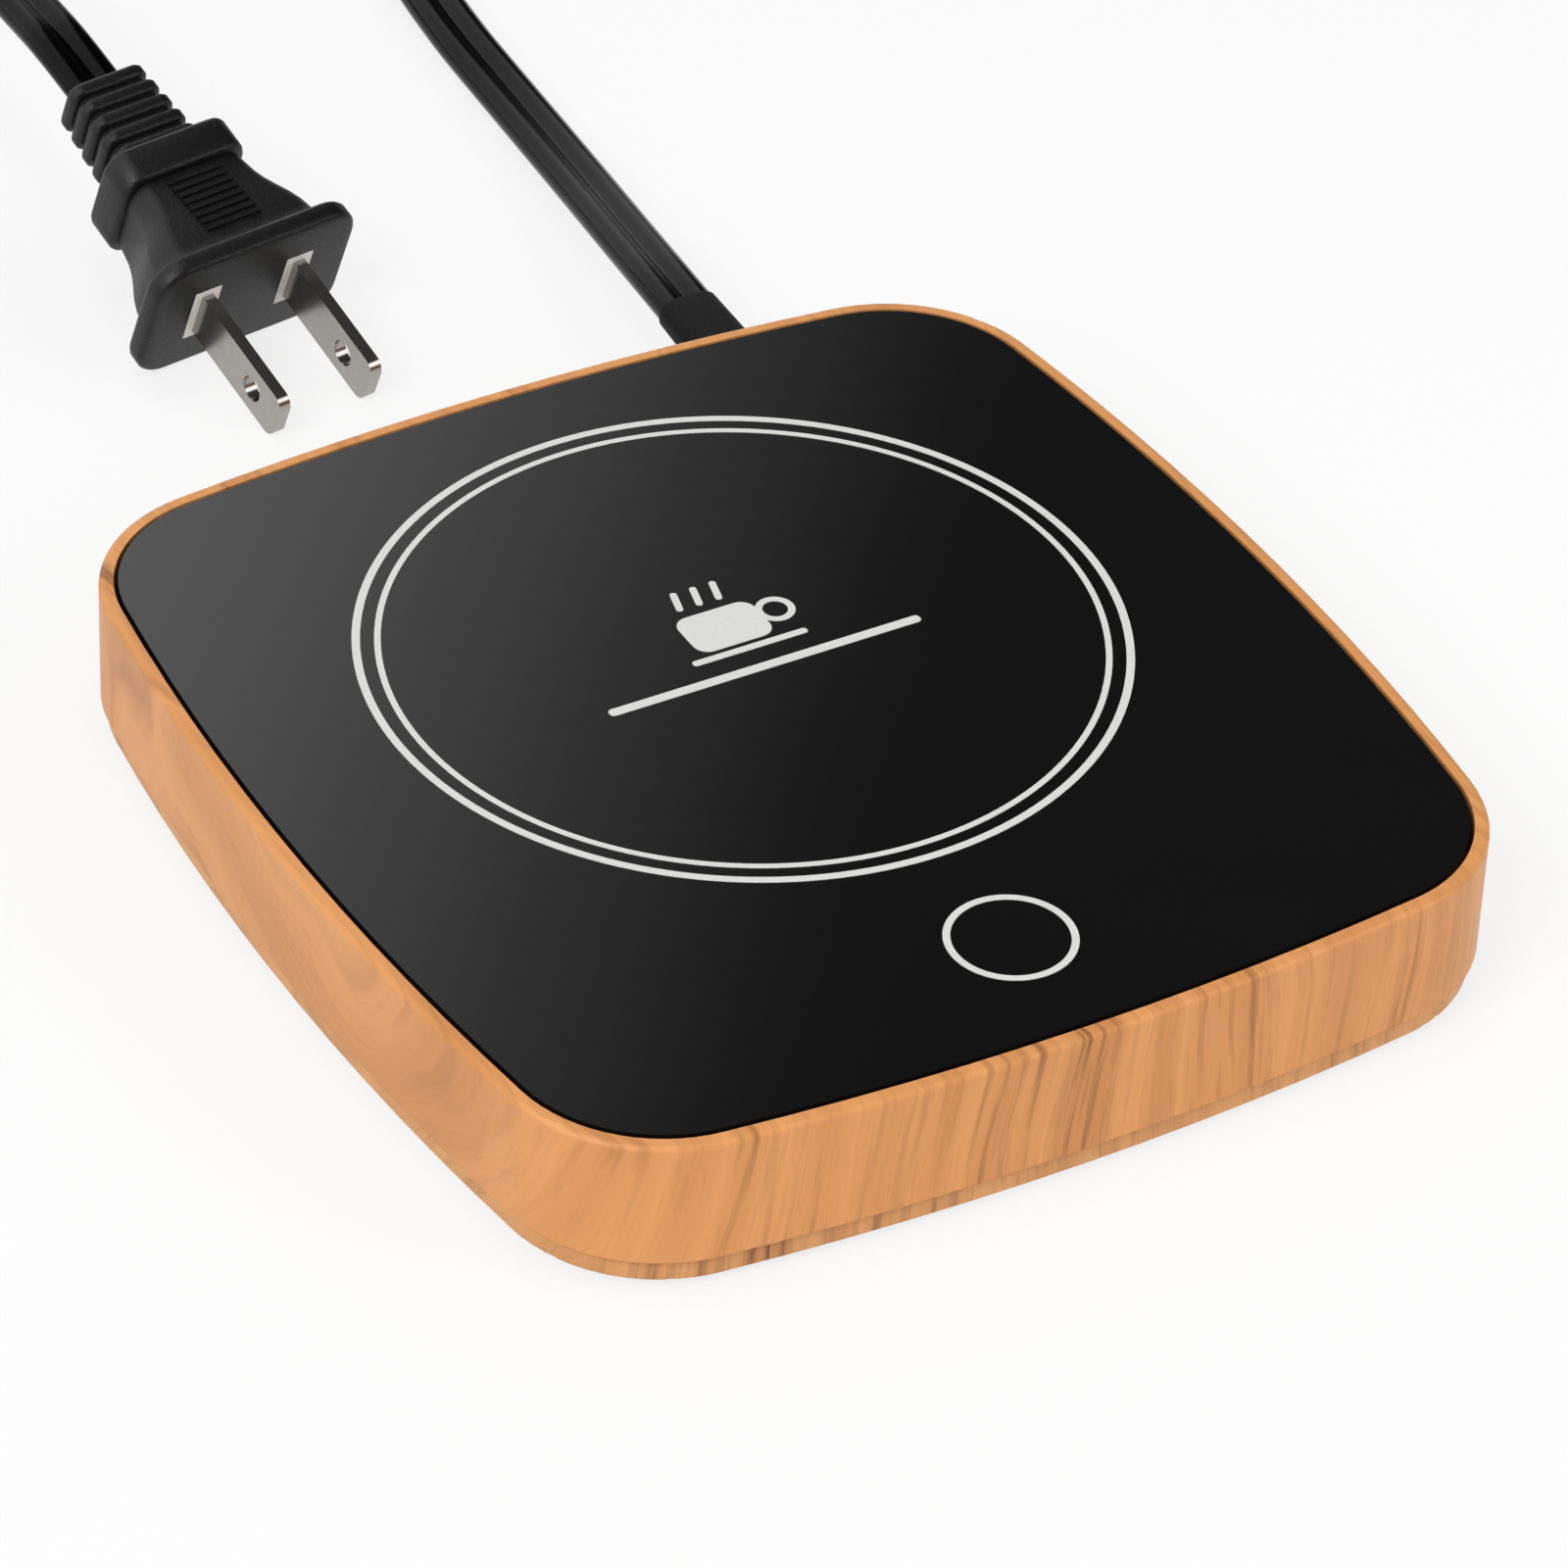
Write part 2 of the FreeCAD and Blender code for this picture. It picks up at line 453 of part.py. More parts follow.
def screw(name, x, y, head_low, head_radius, head_high, shank_radius, tip, frame=None, head_up=False):
    """A screw with a round head; head_low is the head's foot, tip the far end of its shank."""
    head = rod(name + "_head", x, y, head_low, head_radius, head_high, frame)
    if head_up:
        shank = rod(name + "_shank", x, y, tip, shank_radius, f"{head_low} - {tip} + {head_high} / 2",
                    frame)
    else:
        shank = rod(name + "_shank", x, y, f"{head_low} + {head_high} / 2", shank_radius,
                    f"{tip} - {head_low} - {head_high} / 2", frame)
    slot_low = f"{head_low} + {head_high} / 2" if head_up else f"{head_low} - 1"
    slot_high = "5" if head_up else f"1 + {head_high} / 3"
    bars = [box(name + "_slot_a", x, y, slot_low, f"1.3 * {head_radius}", f"0.3 * {head_radius}",
                slot_high, frame),
            box(name + "_slot_b", x, y, slot_low, f"0.3 * {head_radius}", f"1.3 * {head_radius}",
                slot_high, frame)]
    return carved(name, joined(name + "_blank", [head, shank]), bars)


housing_screws = group("housing_screws", at_corners(
    lambda n, x, y: screw(f"housing_screw_{n}", x, y, f"({FLOOR_LOW} + size.screw_head_recess)",
                          "size.screw_head_radius",
                          "size.screw_head_deep", "size.screw_radius", f"({SPLIT} + size.screw_grip)"),
    BOSS_X, BOSS_Y))
guide_pins = group("guide_pins",
                   [rod(f"guide_pin_{n}", f"{i} * {PIN_X}", "0", FLOOR_TOP, "size.pin_radius",
                                      "size.pin_height") for n, i in ((1, 1), (2, -1))])

# Frame that carries the glass.
frame_body = new_body("frame_slab")
frame_sketch = new_sketch(frame_body, "frame_outline", "XY_Plane", FRAME_LOW)
add_bowed_square(frame_sketch, FRAME_OUT)
frame_pad = pad(frame_body, "frame_slab_pad", frame_sketch, "size.frame_thick")
hooks = at_corners(lambda n, x, y: box(f"hook_leg_{n}", x, y, f"{SHELF_LOW} - size.barb_height",
                                       "size.hook_thick", "size.hook_width",
                                       f"{FRAME_LOW} - {SHELF_LOW} + size.barb_height + 0.5"),
                   HOOK_X, "size.shelf_back")
barbs = at_corners(lambda n, x, y: box(f"hook_barb_{n}", x, y, f"{SHELF_LOW} - size.barb_height",
                                       "size.hook_barb", "size.hook_width",
                                       "size.barb_height"),
                   f"({HOOK_X} + size.hook_thick / 2 + size.hook_barb / 2)", "size.shelf_back")
sleeves = [rod(f"pin_sleeve_{n}", f"{i} * {PIN_X}", "0", f"{FRAME_LOW} - size.pin_sleeve_height",
               "size.pin_sleeve_radius",
               "size.pin_sleeve_height + 0.5") for n, i in ((1, 1), (2, -1))]
sleeve_bores = [rod(f"sleeve_bore_{n}", f"{i} * {PIN_X}", "0",
                    f"{FRAME_LOW} - size.pin_sleeve_height - 1",
                    "size.pin_radius + size.pin_fit", "20") for n, i in ((1, 1), (2, -1))]
EAR_X, EAR_Y = "(size.ear_reach * cos(size.ear_angle))", "(size.ear_reach * sin(size.ear_angle))"
ear_pads = at_corners(lambda n, x, y: rod(f"ear_pad_{n}", x, y, SHEET_LOW, "size.ear_radius",
                                          f"{FRAME_LOW} - {SHEET_LOW} + 0.5"),
                      EAR_X, EAR_Y, HEAT_Y)
ear_holes = at_corners(lambda n, x,
                       y: rod(f"ear_hole_{n}", x, y, f"{SHEET_LOW} - 1", "size.ear_screw_radius",
                                           f"{GLASS_LOW} - {SHEET_LOW}"), EAR_X, EAR_Y, HEAT_Y)
spring_noses = at_corners(lambda n, x,
                          y: rod(f"spring_nose_{n}", x, y, f"{FRAME_LOW} - 1.5", "size.spring_stem", "2"),
                          SPRING_X, SPRING_Y)
switch_finger = rod("switch_finger", "size.switch_across", SWITCH_Y, PLUNGER_TOP, "size.finger_radius",
                    f"{FRAME_LOW} - {PLUNGER_TOP} + 0.5")
heat_room = rod("heat_room", "0", HEAT_Y, f"{FRAME_LOW} - 10", "size.spreader_radius + size.spreader_gap",
                "20")
light_room = rod("light_room", "0", KEY_Y, f"{FRAME_LOW} - 5", "size.key_light_radius", "20")
plate_frame = carved("plate_frame",
                     joined("frame_with_hooks",
                            [frame_body] + hooks + barbs + sleeves + ear_pads
                            + spring_noses + [switch_finger]),
                     [heat_room, light_room] + sleeve_bores + ear_holes)

# Heater stack, from the glass down, centred below the ring printed for the mug.
heat_spreader = rod("heat_spreader", "0", HEAT_Y, SPREADER_LOW, "size.spreader_radius",
                    "size.spreader_thick")
heater_disc = carved("heater_disc",
                     rod("heater_blank", "0", HEAT_Y, HEATER_LOW, "size.heater_radius", "size.heater_thick"),
                     [rod("heater_bore", "0", HEAT_Y, f"{HEATER_LOW} - 1", "size.heater_hole", "10")])
insulating_sheet = rod("insulating_sheet", "0", HEAT_Y, SHEET_LOW, "size.sheet_radius", "size.sheet_thick")
press_disc = rod("press_disc", "0", HEAT_Y, PRESS_LOW, "size.sheet_radius", "size.press_plate_thick")
ears = at_corners(lambda n, x, y: rod(f"press_ear_{n}", x, y, PRESS_LOW, "size.ear_radius",
                                      "size.press_plate_thick"), EAR_X, EAR_Y, HEAT_Y)
ear_slots = at_corners(lambda n, x, y: rod(f"press_ear_hole_{n}", x, y, f"{PRESS_LOW} - 1",
                                           "size.ear_screw_radius", "10"), EAR_X, EAR_Y, HEAT_Y)
ear_arms = [box(f"press_arm_{n}", "(size.ear_reach / 2 + size.heater_radius / 2)", "0", PRESS_LOW,
                "size.ear_reach - size.heater_radius", "1.4 * size.ear_radius", "size.press_plate_thick",
                f"placement(vector(0; {HEAT_Y}; 0); rotation({base} {way} size.ear_angle; 0; 0))")
            for n, (base, way) in enumerate([(0, "+"), (180, "-"), (180, "+"), (0, "-")], 1)]
press_plate = carved("press_plate", joined("press_blank", [press_disc] + ears + ear_arms), ear_slots)
press_screws = group("press_plate_screws", at_corners(
    lambda n, x, y: screw(f"press_screw_{n}", x, y, f"({PRESS_LOW} - size.ear_head_high)",
                          "size.ear_head_radius",
                          "size.ear_head_high", "size.ear_screw_radius", f"({GLASS_LOW} - 1.0)"),
    EAR_X, EAR_Y, HEAT_Y))
thermal_fuse = rod("thermal_fuse", "-size.cutout_length / 2", CUTOUT_Y,
                   f"{PRESS_LOW} - size.cutout_radius",
                   "size.cutout_radius", "size.cutout_length", turn=LIE_ALONG_X)
CLIP_HIGH = "(2 * size.cutout_radius)"
clip_strap = box("clip_strap", "0", CUTOUT_Y, f"{PRESS_LOW} - {CLIP_HIGH} - size.clip_thick",
                 "size.clip_width",
                 f"{CLIP_HIGH} + 2 * size.clip_thick", f"{CLIP_HIGH} + size.clip_thick")
clip_feet = box("clip_feet", "0", CUTOUT_Y, f"{PRESS_LOW} - size.clip_thick", "size.clip_width",
                f"{CLIP_HIGH} + 8", "size.clip_thick")
clip_room = box("clip_room", "0", CUTOUT_Y, f"{PRESS_LOW} - {CLIP_HIGH}", "2 * size.clip_width",
                CLIP_HIGH, "10")
fuse_clip = carved("fuse_clip", joined("clip_blank", [clip_strap, clip_feet]), [clip_room])
temperature_sensor = rod("temperature_sensor", "-size.sensor_length / 2", SENSOR_Y,
                         f"{PRESS_LOW} - size.sensor_radius",
                         "size.sensor_radius", "size.sensor_length", turn=LIE_ALONG_X)
light_ring = carved("key_light_guide",
                    rod("light_blank", "0", KEY_Y, f"{FRAME_LOW} - size.key_light_drop",
                        "size.key_light_radius",
                        "size.frame_thick + size.key_light_drop"),
                    [rod("light_bore", "0", KEY_Y, f"{FRAME_LOW} - 10", "size.key_light_bore", "20")])

# Control board and what stands on it.
board_blank = box("board_blank", "0", f"({BOARD_FRONT} + size.board_deep / 2)", BOARD_LOW,
                  "2 * size.board_half_width",
                  "size.board_deep", "size.board_thick")
board_holes = [rod(f"board_hole_{n}", x, y, f"{BOARD_LOW} - 1", "size.board_screw_radius", "5")
               for n, (x, y) in enumerate(board_spots, 1)]
control_board = carved("control_board", board_blank, board_holes)
board_screws = group("board_screws", [
    screw(f"board_screw_{n}", x, y, BOARD_TOP, "size.board_head_radius", "size.board_head_high",
          "size.board_screw_radius",
          f"({FLOOR_TOP} + 0.2)", head_up=True) for n, (x, y) in enumerate(board_spots, 1)])
film_capacitor = box("film_capacitor", "9", f"({BOARD_REAR} - 14)", BOARD_TOP, "size.film_long",
                     "size.film_wide", "size.film_high")
drum_capacitor = rod("smoothing_capacitor", "11", f"({BOARD_REAR} - 35)",
                     f"{BOARD_TOP} + size.drum_radius", "size.drum_radius", "size.drum_long",
                     turn=LIE_ALONG_X)
terminal_block = box("terminal_block", "7", f"({BOARD_REAR} - 5)", BOARD_TOP, "size.terminal_long",
                     "size.terminal_wide", "size.terminal_high")
power_switch = box("power_triac", "-20", f"({BOARD_REAR} - 8)", BOARD_TOP, "size.power_switch_long",
                   "size.power_switch_wide", "size.power_switch_high")
control_chip = box("control_chip", "-8", f"({BOARD_REAR} - 17)", BOARD_TOP, "size.chip_long",
                   "size.chip_wide", "size.chip_high")
board_fuse = rod("board_fuse", "14", f"({BOARD_REAR} - 24)", f"{BOARD_TOP} + size.board_fuse_radius",
                 "size.board_fuse_radius", "size.board_fuse_long",
                 turn=LIE_ALONG_X)
key_lamps = group("key_lamps", [
    box(f"key_lamp_{n}", f"{i} * size.lamp_ring", f"({KEY_Y} + {j} * size.lamp_ring)", BOARD_TOP,
        "size.lamp_size",
        "size.lamp_size", "size.lamp_high") for n,
        (i, j) in enumerate([(1, 0), (0, 1), (-1, 0), (0, -1)], 1)])
switch_body = carved("switch_body",
                     box("switch_case", "size.switch_across", SWITCH_Y, BOARD_TOP, "size.switch_long",
                         "size.switch_wide",
                         "size.switch_high"),
                     [rod("switch_bore", "size.switch_across", SWITCH_Y,
                          f"{SWITCH_TOP} - size.plunger_deep - size.press_travel - 0.2",
                          "size.plunger_radius + size.plunger_fit", "20")])
switch_plunger = rod("switch_plunger", "size.switch_across", SWITCH_Y,
                     f"{SWITCH_TOP} - size.plunger_deep",
                     "size.plunger_radius", "size.plunger_deep + size.plunger_proud")

# Return springs and the leads that flex with the plate.


def spring(number, x, y):
    coil = doc.addObject("Part::Helix", f"spring_line_{number}")
    height = f"{FRAME_LOW} - {SPRING_LOW} - 2 * size.spring_wire"
    bind(coil, Radius="size.spring_radius", Height=height, Pitch=f"({height}) / size.spring_turns")
    place(coil, x, y, f"{SPRING_LOW} + size.spring_wire")
    wire = doc.addObject("Part::Circle", f"spring_wire_{number}")
    bind(wire, Radius="size.spring_wire")
    place(wire, f"{x} + size.spring_radius", y, f"{SPRING_LOW} + size.spring_wire",
          turn="rotation(0; 0; 90)")
    sweep = doc.addObject("Part::Sweep", f"return_spring_{number}")
    sweep.Sections = [wire]
    sweep.Spine = (coil, [])
    sweep.Solid = True
    sweep.Frenet = True
    return sweep


return_springs = group("return_springs", at_corners(spring, SPRING_X, SPRING_Y))
heater_leads = group("heater_leads", [
    rod(f"heater_lead_{n}", f"{i} * 2.5 + 7", f"({BOARD_REAR} - 5)", f"{BOARD_TOP} + size.terminal_high",
        "size.lead_radius",
        f"{PRESS_LOW} - {BOARD_TOP} - size.terminal_high") for n, i in ((1, -1), (2, 1))])


def rounded_route(points, low_share=0.45, report=None):
    """Straight runs joined by tangent arcs, each as large as its two runs allow."""
    edges, start, radii = [], points[0], []
    for before, here, after in zip(points, points[1:], points[2:]):
        back, on = (before - here), (after - here)
        shorter = min(back.Length, on.Length)
        turn = math.pi - back.getAngle(on)
        reach = low_share * shorter
        radii.append(reach / math.tan(turn / 2))
        enter, leave = here + back.normalize() * reach, here + on.normalize() * reach
        middle = (enter + leave) * 0.5
        bulge = (leave - enter).Length / 2 * math.tan(turn / 4)
        crown = middle + (here - middle).normalize() * bulge
        edges.append(Part.LineSegment(start, enter).toShape())
        edges.append(Part.Arc(enter, crown, leave).toShape())
        start = leave
    edges.append(Part.LineSegment(start, points[-1]).toShape())
    if report:
        print(report, "bend radii", [round(r, 1) for r in radii])
    return Part.Wire(edges)


def section_at(point, along, wide, high):
    """The outline of the flat lead, square to its line, its broad way level."""
    across = V(0, 0, 1).cross(along).normalize()
    up = along.cross(across).normalize()
    r = high / 2
    a, b = point + across * (wide / 2 - r), point - across * (wide / 2 - r)
    edges = [Part.LineSegment(b + up * r, a + up * r).toShape(),
             Part.Arc(a + up * r, a + across * r, a - up * r).toShape(),
             Part.LineSegment(a - up * r, b - up * r).toShape(),
             Part.Arc(b - up * r, b - across * r, b + up * r).toShape()]
    return Part.Wire(edges)


def swept(path, wide, high, steady=None):
    """The flat lead along a path; a steady direction, if given, keeps its section from rolling."""
    first = path.OrderedEdges[0]
    start = first.valueAt(first.FirstParameter)
    along = first.tangentAt(first.FirstParameter)
    if (path.OrderedVertexes[0].Point - start).Length > 1e-6:
        start = first.valueAt(first.LastParameter)
        along = first.tangentAt(first.LastParameter) * -1
    shell = Part.BRepOffsetAPI.MakePipeShell(path)
    if steady:
        shell.setBiNormalMode(steady)
    shell.add(section_at(start, along, wide, high))
    shell.build()
    shell.makeSolid()
    return shell.shape()


def feature(name, shape):
    piece = doc.addObject("Part::Feature", name)
    piece.Shape = shape
    return piece


# Free lead: out of the rear, into a small put-away coil, and back to the plug.
CORD_WIDE, CORD_HIGH = size.cord_wide, size.cord_high
EXIT = V(value(EXIT_X), value(REAR_WALL) - size.cord_inside, size.exit_rise)
LOW = CORD_HIGH / 2 + 0.3
COIL = V(22.0, 252.0, LOW)
COIL_RADIUS = 44.0
TURN_STEP = 3.9
LAYER_STEP = CORD_HIGH + 0.7
HALF_TURNS = 4


def spiral(centre, radius, step, count, direction_in):
    """Ends of half turns along X, spiralling in or out, counter-clockwise."""
    points = []
    side, reach = 1, radius
    x = centre.x + radius
    points.append(V(x, centre.y, centre.z))
    for n in range(count):
        half = reach - step * n * direction_in
        x -= side * 2 * half
        side = -side
        points.append(V(x, centre.y, centre.z))
    return points


def biarc(p, tp, q, tq):
    """Two arcs from p to q that leave along tp and arrive along tq."""
    v, t = q - p, tp + tq
    denominator = 2 * (1 - tp.dot(tq))
    if denominator < 1e-9:
        d = v.dot(v) / (4 * v.dot(tq))
    else:
        d = (-v.dot(t) + math.sqrt(v.dot(t) ** 2 + denominator * v.dot(v))) / denominator
    a, b = p + tp * d, q - tq * d
    middle = (a + b) * 0.5
    arcs = []
    for start, corner, stop in ((p, a, middle), (middle, b, q)):
        chord = (start + stop) * 0.5
        half = (stop - start).Length / 2
        lean = math.acos(min(1.0, half / (corner - start).Length))
        arcs.append(Part.Arc(start, chord + (corner - chord).normalize() * half * math.tan(lean / 2),
                             stop).toShape())
    return arcs


inward = spiral(COIL, COIL_RADIUS, TURN_STEP, HALF_TURNS, 1)
inner_radius = COIL_RADIUS - TURN_STEP * HALF_TURNS
turnback = V(inward[-1].x - 2 * inner_radius, COIL.y, LOW + LAYER_STEP)
outward = [turnback]
x, side = turnback.x, -1
for n in range(HALF_TURNS):
    half = inner_radius + TURN_STEP * (n + 1)
    x -= side * 2 * half
    side = -side
    outward.append(V(x, COIL.y, LOW + LAYER_STEP))
turn_ends = inward + outward
headings = [V(0, 1, 0) if n % 2 == 0 else V(0, -1, 0) for n in range(len(turn_ends))]
coil_edges = []
for n in range(len(turn_ends) - 1):
    coil_edges += biarc(turn_ends[n], headings[n], turn_ends[n + 1], headings[n + 1])
coil_path = Part.Wire(coil_edges)
coil_shape = swept(coil_path, CORD_WIDE, CORD_HIGH)
cord_coil = feature("cord_coil", coil_shape)

COIL_START, COIL_END = turn_ends[0], turn_ends[-1]
EXIT_ROUTE = [EXIT, V(EXIT.x, EXIT.y + 30, EXIT.z), V(34.6, 82.0, 4.4), V(37.6, 104.0, LOW),
              V(41.2, 140.0, LOW),
              V(46.0, 178.0, LOW), V(COIL_START.x, 214.0, LOW), COIL_START]
plug_frame = FreeCAD.Placement(V(size.plug_x, size.plug_y, size.plug_z),
                               FreeCAD.Rotation(size.plug_heading, 0, size.plug_tilt))
relief_start = size.collar_back + size.collar_deep
plug_tail = plug_frame.multVec(V(0, relief_start - 2, 0))
plug_out = plug_frame.multVec(V(0, relief_start + size.relief_long + 5, 0))
PLUG_ROUTE = [COIL_END, V(COIL_END.x, 225.0, COIL_END.z), V(-21.0, 201.0, 2.4), V(-18.5, 181.0, 10.5),
              V(-16.5, 160.0, 19.5), plug_out, plug_tail]
cord_exit = feature("cord_exit_run",
                    swept(rounded_route(EXIT_ROUTE, report="exit run"), CORD_WIDE, CORD_HIGH, V(0, 0, 1)))
cord_plug = feature("cord_plug_run",
                    swept(rounded_route(PLUG_ROUTE, report="plug run"), CORD_WIDE, CORD_HIGH, V(1, 0, 0)))
SECTION = math.pi * CORD_HIGH ** 2 / 4 + (CORD_WIDE - CORD_HIGH) * CORD_HIGH
length = 0.0
for piece, path in ((cord_exit, rounded_route(EXIT_ROUTE)), (cord_coil, coil_path),
                    (cord_plug, rounded_route(PLUG_ROUTE))):
    length += path.Length
    print(piece.Name, "length", round(path.Length, 1), "volume over section x length",
          round(piece.Shape.Volume / (SECTION * path.Length), 4), "lowest z",
          round(piece.Shape.BoundBox.ZMin, 3))
print("whole lead", round(length, 1))
spots = coil_path.discretize(Distance=3.0)
least_gap = min(max(abs(p.z - q.z) - CORD_HIGH, math.hypot(p.x - q.x, p.y - q.y) - CORD_WIDE)
                for n, p in enumerate(spots) for q in spots[n + 9:])
print("coil least gap to itself", round(least_gap, 2))

# Grommet in the rear wall, and the bar that holds the lead inside.
bush = new_body("bush_block")
tail_sketch = new_sketch(bush, "bush_outline", "XZ_Plane", f"-({REAR_WALL} + size.bush_flange_deep)")
tail_sketch.setExpression("AttachmentOffset.Base.x", EXIT_X)
tail_sketch.setExpression("AttachmentOffset.Base.y", "size.exit_rise")
add_round_block(tail_sketch, "size.bush_wide + 2 * size.bush_flange", "size.bush_high + 1",
                "size.bush_round")
bush_flange = pad(bush, "bush_outer_flange", tail_sketch, "size.bush_flange_deep + size.shell_wall / 2")
neck_block = box("bush_neck", EXIT_X, f"{REAR_WALL} - 2",
                 "size.exit_rise - size.bush_high / 2", "size.bush_wide",
                 "6", "size.bush_high")


def round_loft(name, sections, frame=None):
    """A body lofted through rounded rectangles that stand square to its own Y axis."""
    body = new_body(name)
    sketches = []
    for n, (back, wide, high, corner) in enumerate(sections, 1):
        sketch = new_sketch(body, f"{name}_section_{n}", "XZ_Plane", f"-({back})")
        add_round_block(sketch, wide, high, corner)
        sketches.append(sketch)
    loft = body.newObject("PartDesign::AdditiveLoft", name + "_loft")
    loft.Profile = sketches[0]
    loft.Sections = [(s, [""]) for s in sketches[1:]]
    loft.Ruled = True
    if frame:
        body.setExpression("Placement", frame)
    return body


bush_tail = round_loft("bush_tail_taper", [
    ("0", "size.bush_wide", "size.bush_high - 0.4", "size.bush_round"),
    ("size.bush_tail", "size.bush_tail_wide", "size.bush_tail_high", "size.bush_round")],
    f"placement(vector({EXIT_X}; {REAR_WALL} + size.bush_flange_deep - 0.5; size.exit_rise);"
    " rotation(0; 0; 0))")
cord_room = feature("cord_room", swept(rounded_route(EXIT_ROUTE), CORD_WIDE, CORD_HIGH, V(0, 0, 1)))
cord_bushing = carved("cord_bushing", joined("bush_whole", [bush, neck_block, bush_tail]),
                      [cord_room, top_housing])
grip_bar = carved("cord_clamp_bar",
                  box("grip_blank", EXIT_X, GRIP_Y, GRIP_LOW, "size.grip_wide",
                      "size.grip_long", "size.grip_high"),
                  [rod(f"bar_hole_{n}", x, GRIP_Y, f"{GRIP_LOW} - 1", "size.board_screw_radius", "9")
                   for n, x in enumerate(grip_spots, 1)])
grip_screws = group("cord_clamp_screws", [
    screw(f"grip_screw_{n}", x, GRIP_Y, f"({GRIP_LOW} + size.grip_high)", "size.board_head_radius",
          "size.board_head_high",
          "size.board_screw_radius", f"({FLOOR_TOP} + 0.2)", head_up=True) for n,
          x in enumerate(grip_spots, 1)])

WIRE_RISE = value(BOARD_TOP) + size.terminal_high / 2


def supply_wire(offset):
    start = V(EXIT.x + offset, EXIT.y, EXIT.z)
    finish = V(7 + offset * 2, value(BOARD_REAR) - 5 + size.terminal_wide / 2, WIRE_RISE)
    route = [start, V(start.x, start.y - 10, start.z), V(finish.x + 8, 6, WIRE_RISE + 0.3),
             V(finish.x, -8, WIRE_RISE), finish]
    path = rounded_route(route)
    ring = Part.Wire([Part.Circle(start, route[1] - start, size.wire_radius).toShape()])
    pipe = Part.BRepOffsetAPI.MakePipeShell(path)
    pipe.add(ring)
    pipe.build()
    pipe.makeSolid()
    return pipe.shape()


supply_wires = feature("supply_wires", Part.makeCompound([supply_wire(1.75), supply_wire(-1.75)]))

# Plug: moulded body with flange, waist, grip ribs and collar.
plug_loft = round_loft("plug_core", [
    ("0", "size.flange_wide", "size.flange_high", "size.flange_round"),
    ("size.flange_deep", "size.flange_wide", "size.flange_high", "size.flange_round"),
    ("size.flange_deep + 0.5", "size.shoulder_wide + 0.6", "size.shoulder_high + 0.6", "size.body_round"),
    ("size.shoulder_back", "size.shoulder_wide", "size.shoulder_high - 0.6", "size.body_round"),
    ("size.waist_back", "size.waist_wide + 0.8", "size.waist_high + 0.4", "size.body_round"),
    ("size.collar_back", "size.waist_wide", "size.waist_high", "size.body_round"),
    ("size.collar_back + 0.3", "size.collar_wide", "size.collar_high", "size.body_round"),
    ("size.collar_back + size.collar_deep", "size.collar_wide", "size.collar_high", "size.body_round")],
    PLUG)
SHOULDER_HALF, WAIST_HALF = "(size.shoulder_high / 2 - 0.3)", "(size.waist_high / 2)"
RIB_FALL = f"(({SHOULDER_HALF} - {WAIST_HALF}) / (size.collar_back - size.shoulder_back))"


def grip_rib(number):
    """One rib across the top and the underside of the waist, following its slope."""
    back = f"(size.rib_start + {number} * size.rib_pitch)"
    half = f"({SHOULDER_HALF} + size.rib_high - ({back} - size.shoulder_back) * {RIB_FALL})"
    return box(f"plug_rib_{number + 1}", "0", back, f"-{half}", "size.rib_wide", "size.rib_thick",
               f"2 * {half}", PLUG)


ribs = [grip_rib(n) for n in range(int(size.grip_ribs))]
windows = [box(f"plug_window_room_{n}", f"{i} * size.blade_apart / 2", "size.window_deep / 2 - 0.5",
               "-size.window_high / 2",
               "size.window_wide", "size.window_deep + 1", "size.window_high", PLUG) for n,
               i in ((1, 1), (2, -1))]
blade_rooms = [box(f"plug_blade_room_{n}", f"{i} * size.blade_apart / 2", "size.blade_root / 2 - 0.5",
                   "-size.blade_wide / 2",
                   "size.blade_thick", "size.blade_root + 1", "size.blade_wide", PLUG) for n,
                   i in ((1, 1), (2, -1))]
tail_room = feature("plug_cord_room", swept(rounded_route(PLUG_ROUTE), CORD_WIDE, CORD_HIGH, V(1, 0, 0)))
plug_body = carved("plug_body", joined("plug_moulding", [plug_loft] + ribs),
                   windows + blade_rooms + [tail_room])


def blade(number, side):
    x = f"{side} * size.blade_apart / 2"
    bar = box(f"blade_bar_{number}", x, "(size.blade_root - size.blade_long + size.blade_wide / 4) / 2",
              "-size.blade_wide / 2",
              "size.blade_thick", "size.blade_root + size.blade_long - size.blade_wide / 4",
              "size.blade_wide", PLUG)
    tip = box(f"blade_tip_{number}", x, "-size.blade_long + size.blade_wide / 4", "-size.blade_wide / 4",
              "size.blade_thick", "size.blade_wide / 2", "size.blade_wide / 2", PLUG)
    rounds = [rod(f"blade_round_{number}_{k}", f"{x} - size.blade_thick / 2",
                  "-size.blade_long + size.blade_wide / 4",
                  f"{j} * size.blade_wide / 4", "size.blade_wide / 4", "size.blade_thick", PLUG,
                  LIE_ALONG_X)
              for k, j in ((1, 1), (2, -1))]
    hole = rod(f"blade_hole_{number}", f"{x} - size.blade_thick", "-size.blade_hole_back", "0",
               "size.blade_hole",
               "2 * size.blade_thick", PLUG, LIE_ALONG_X)
    return carved(f"plug_blade_{number}", joined(f"blade_blank_{number}", [bar, tip] + rounds), [hole])


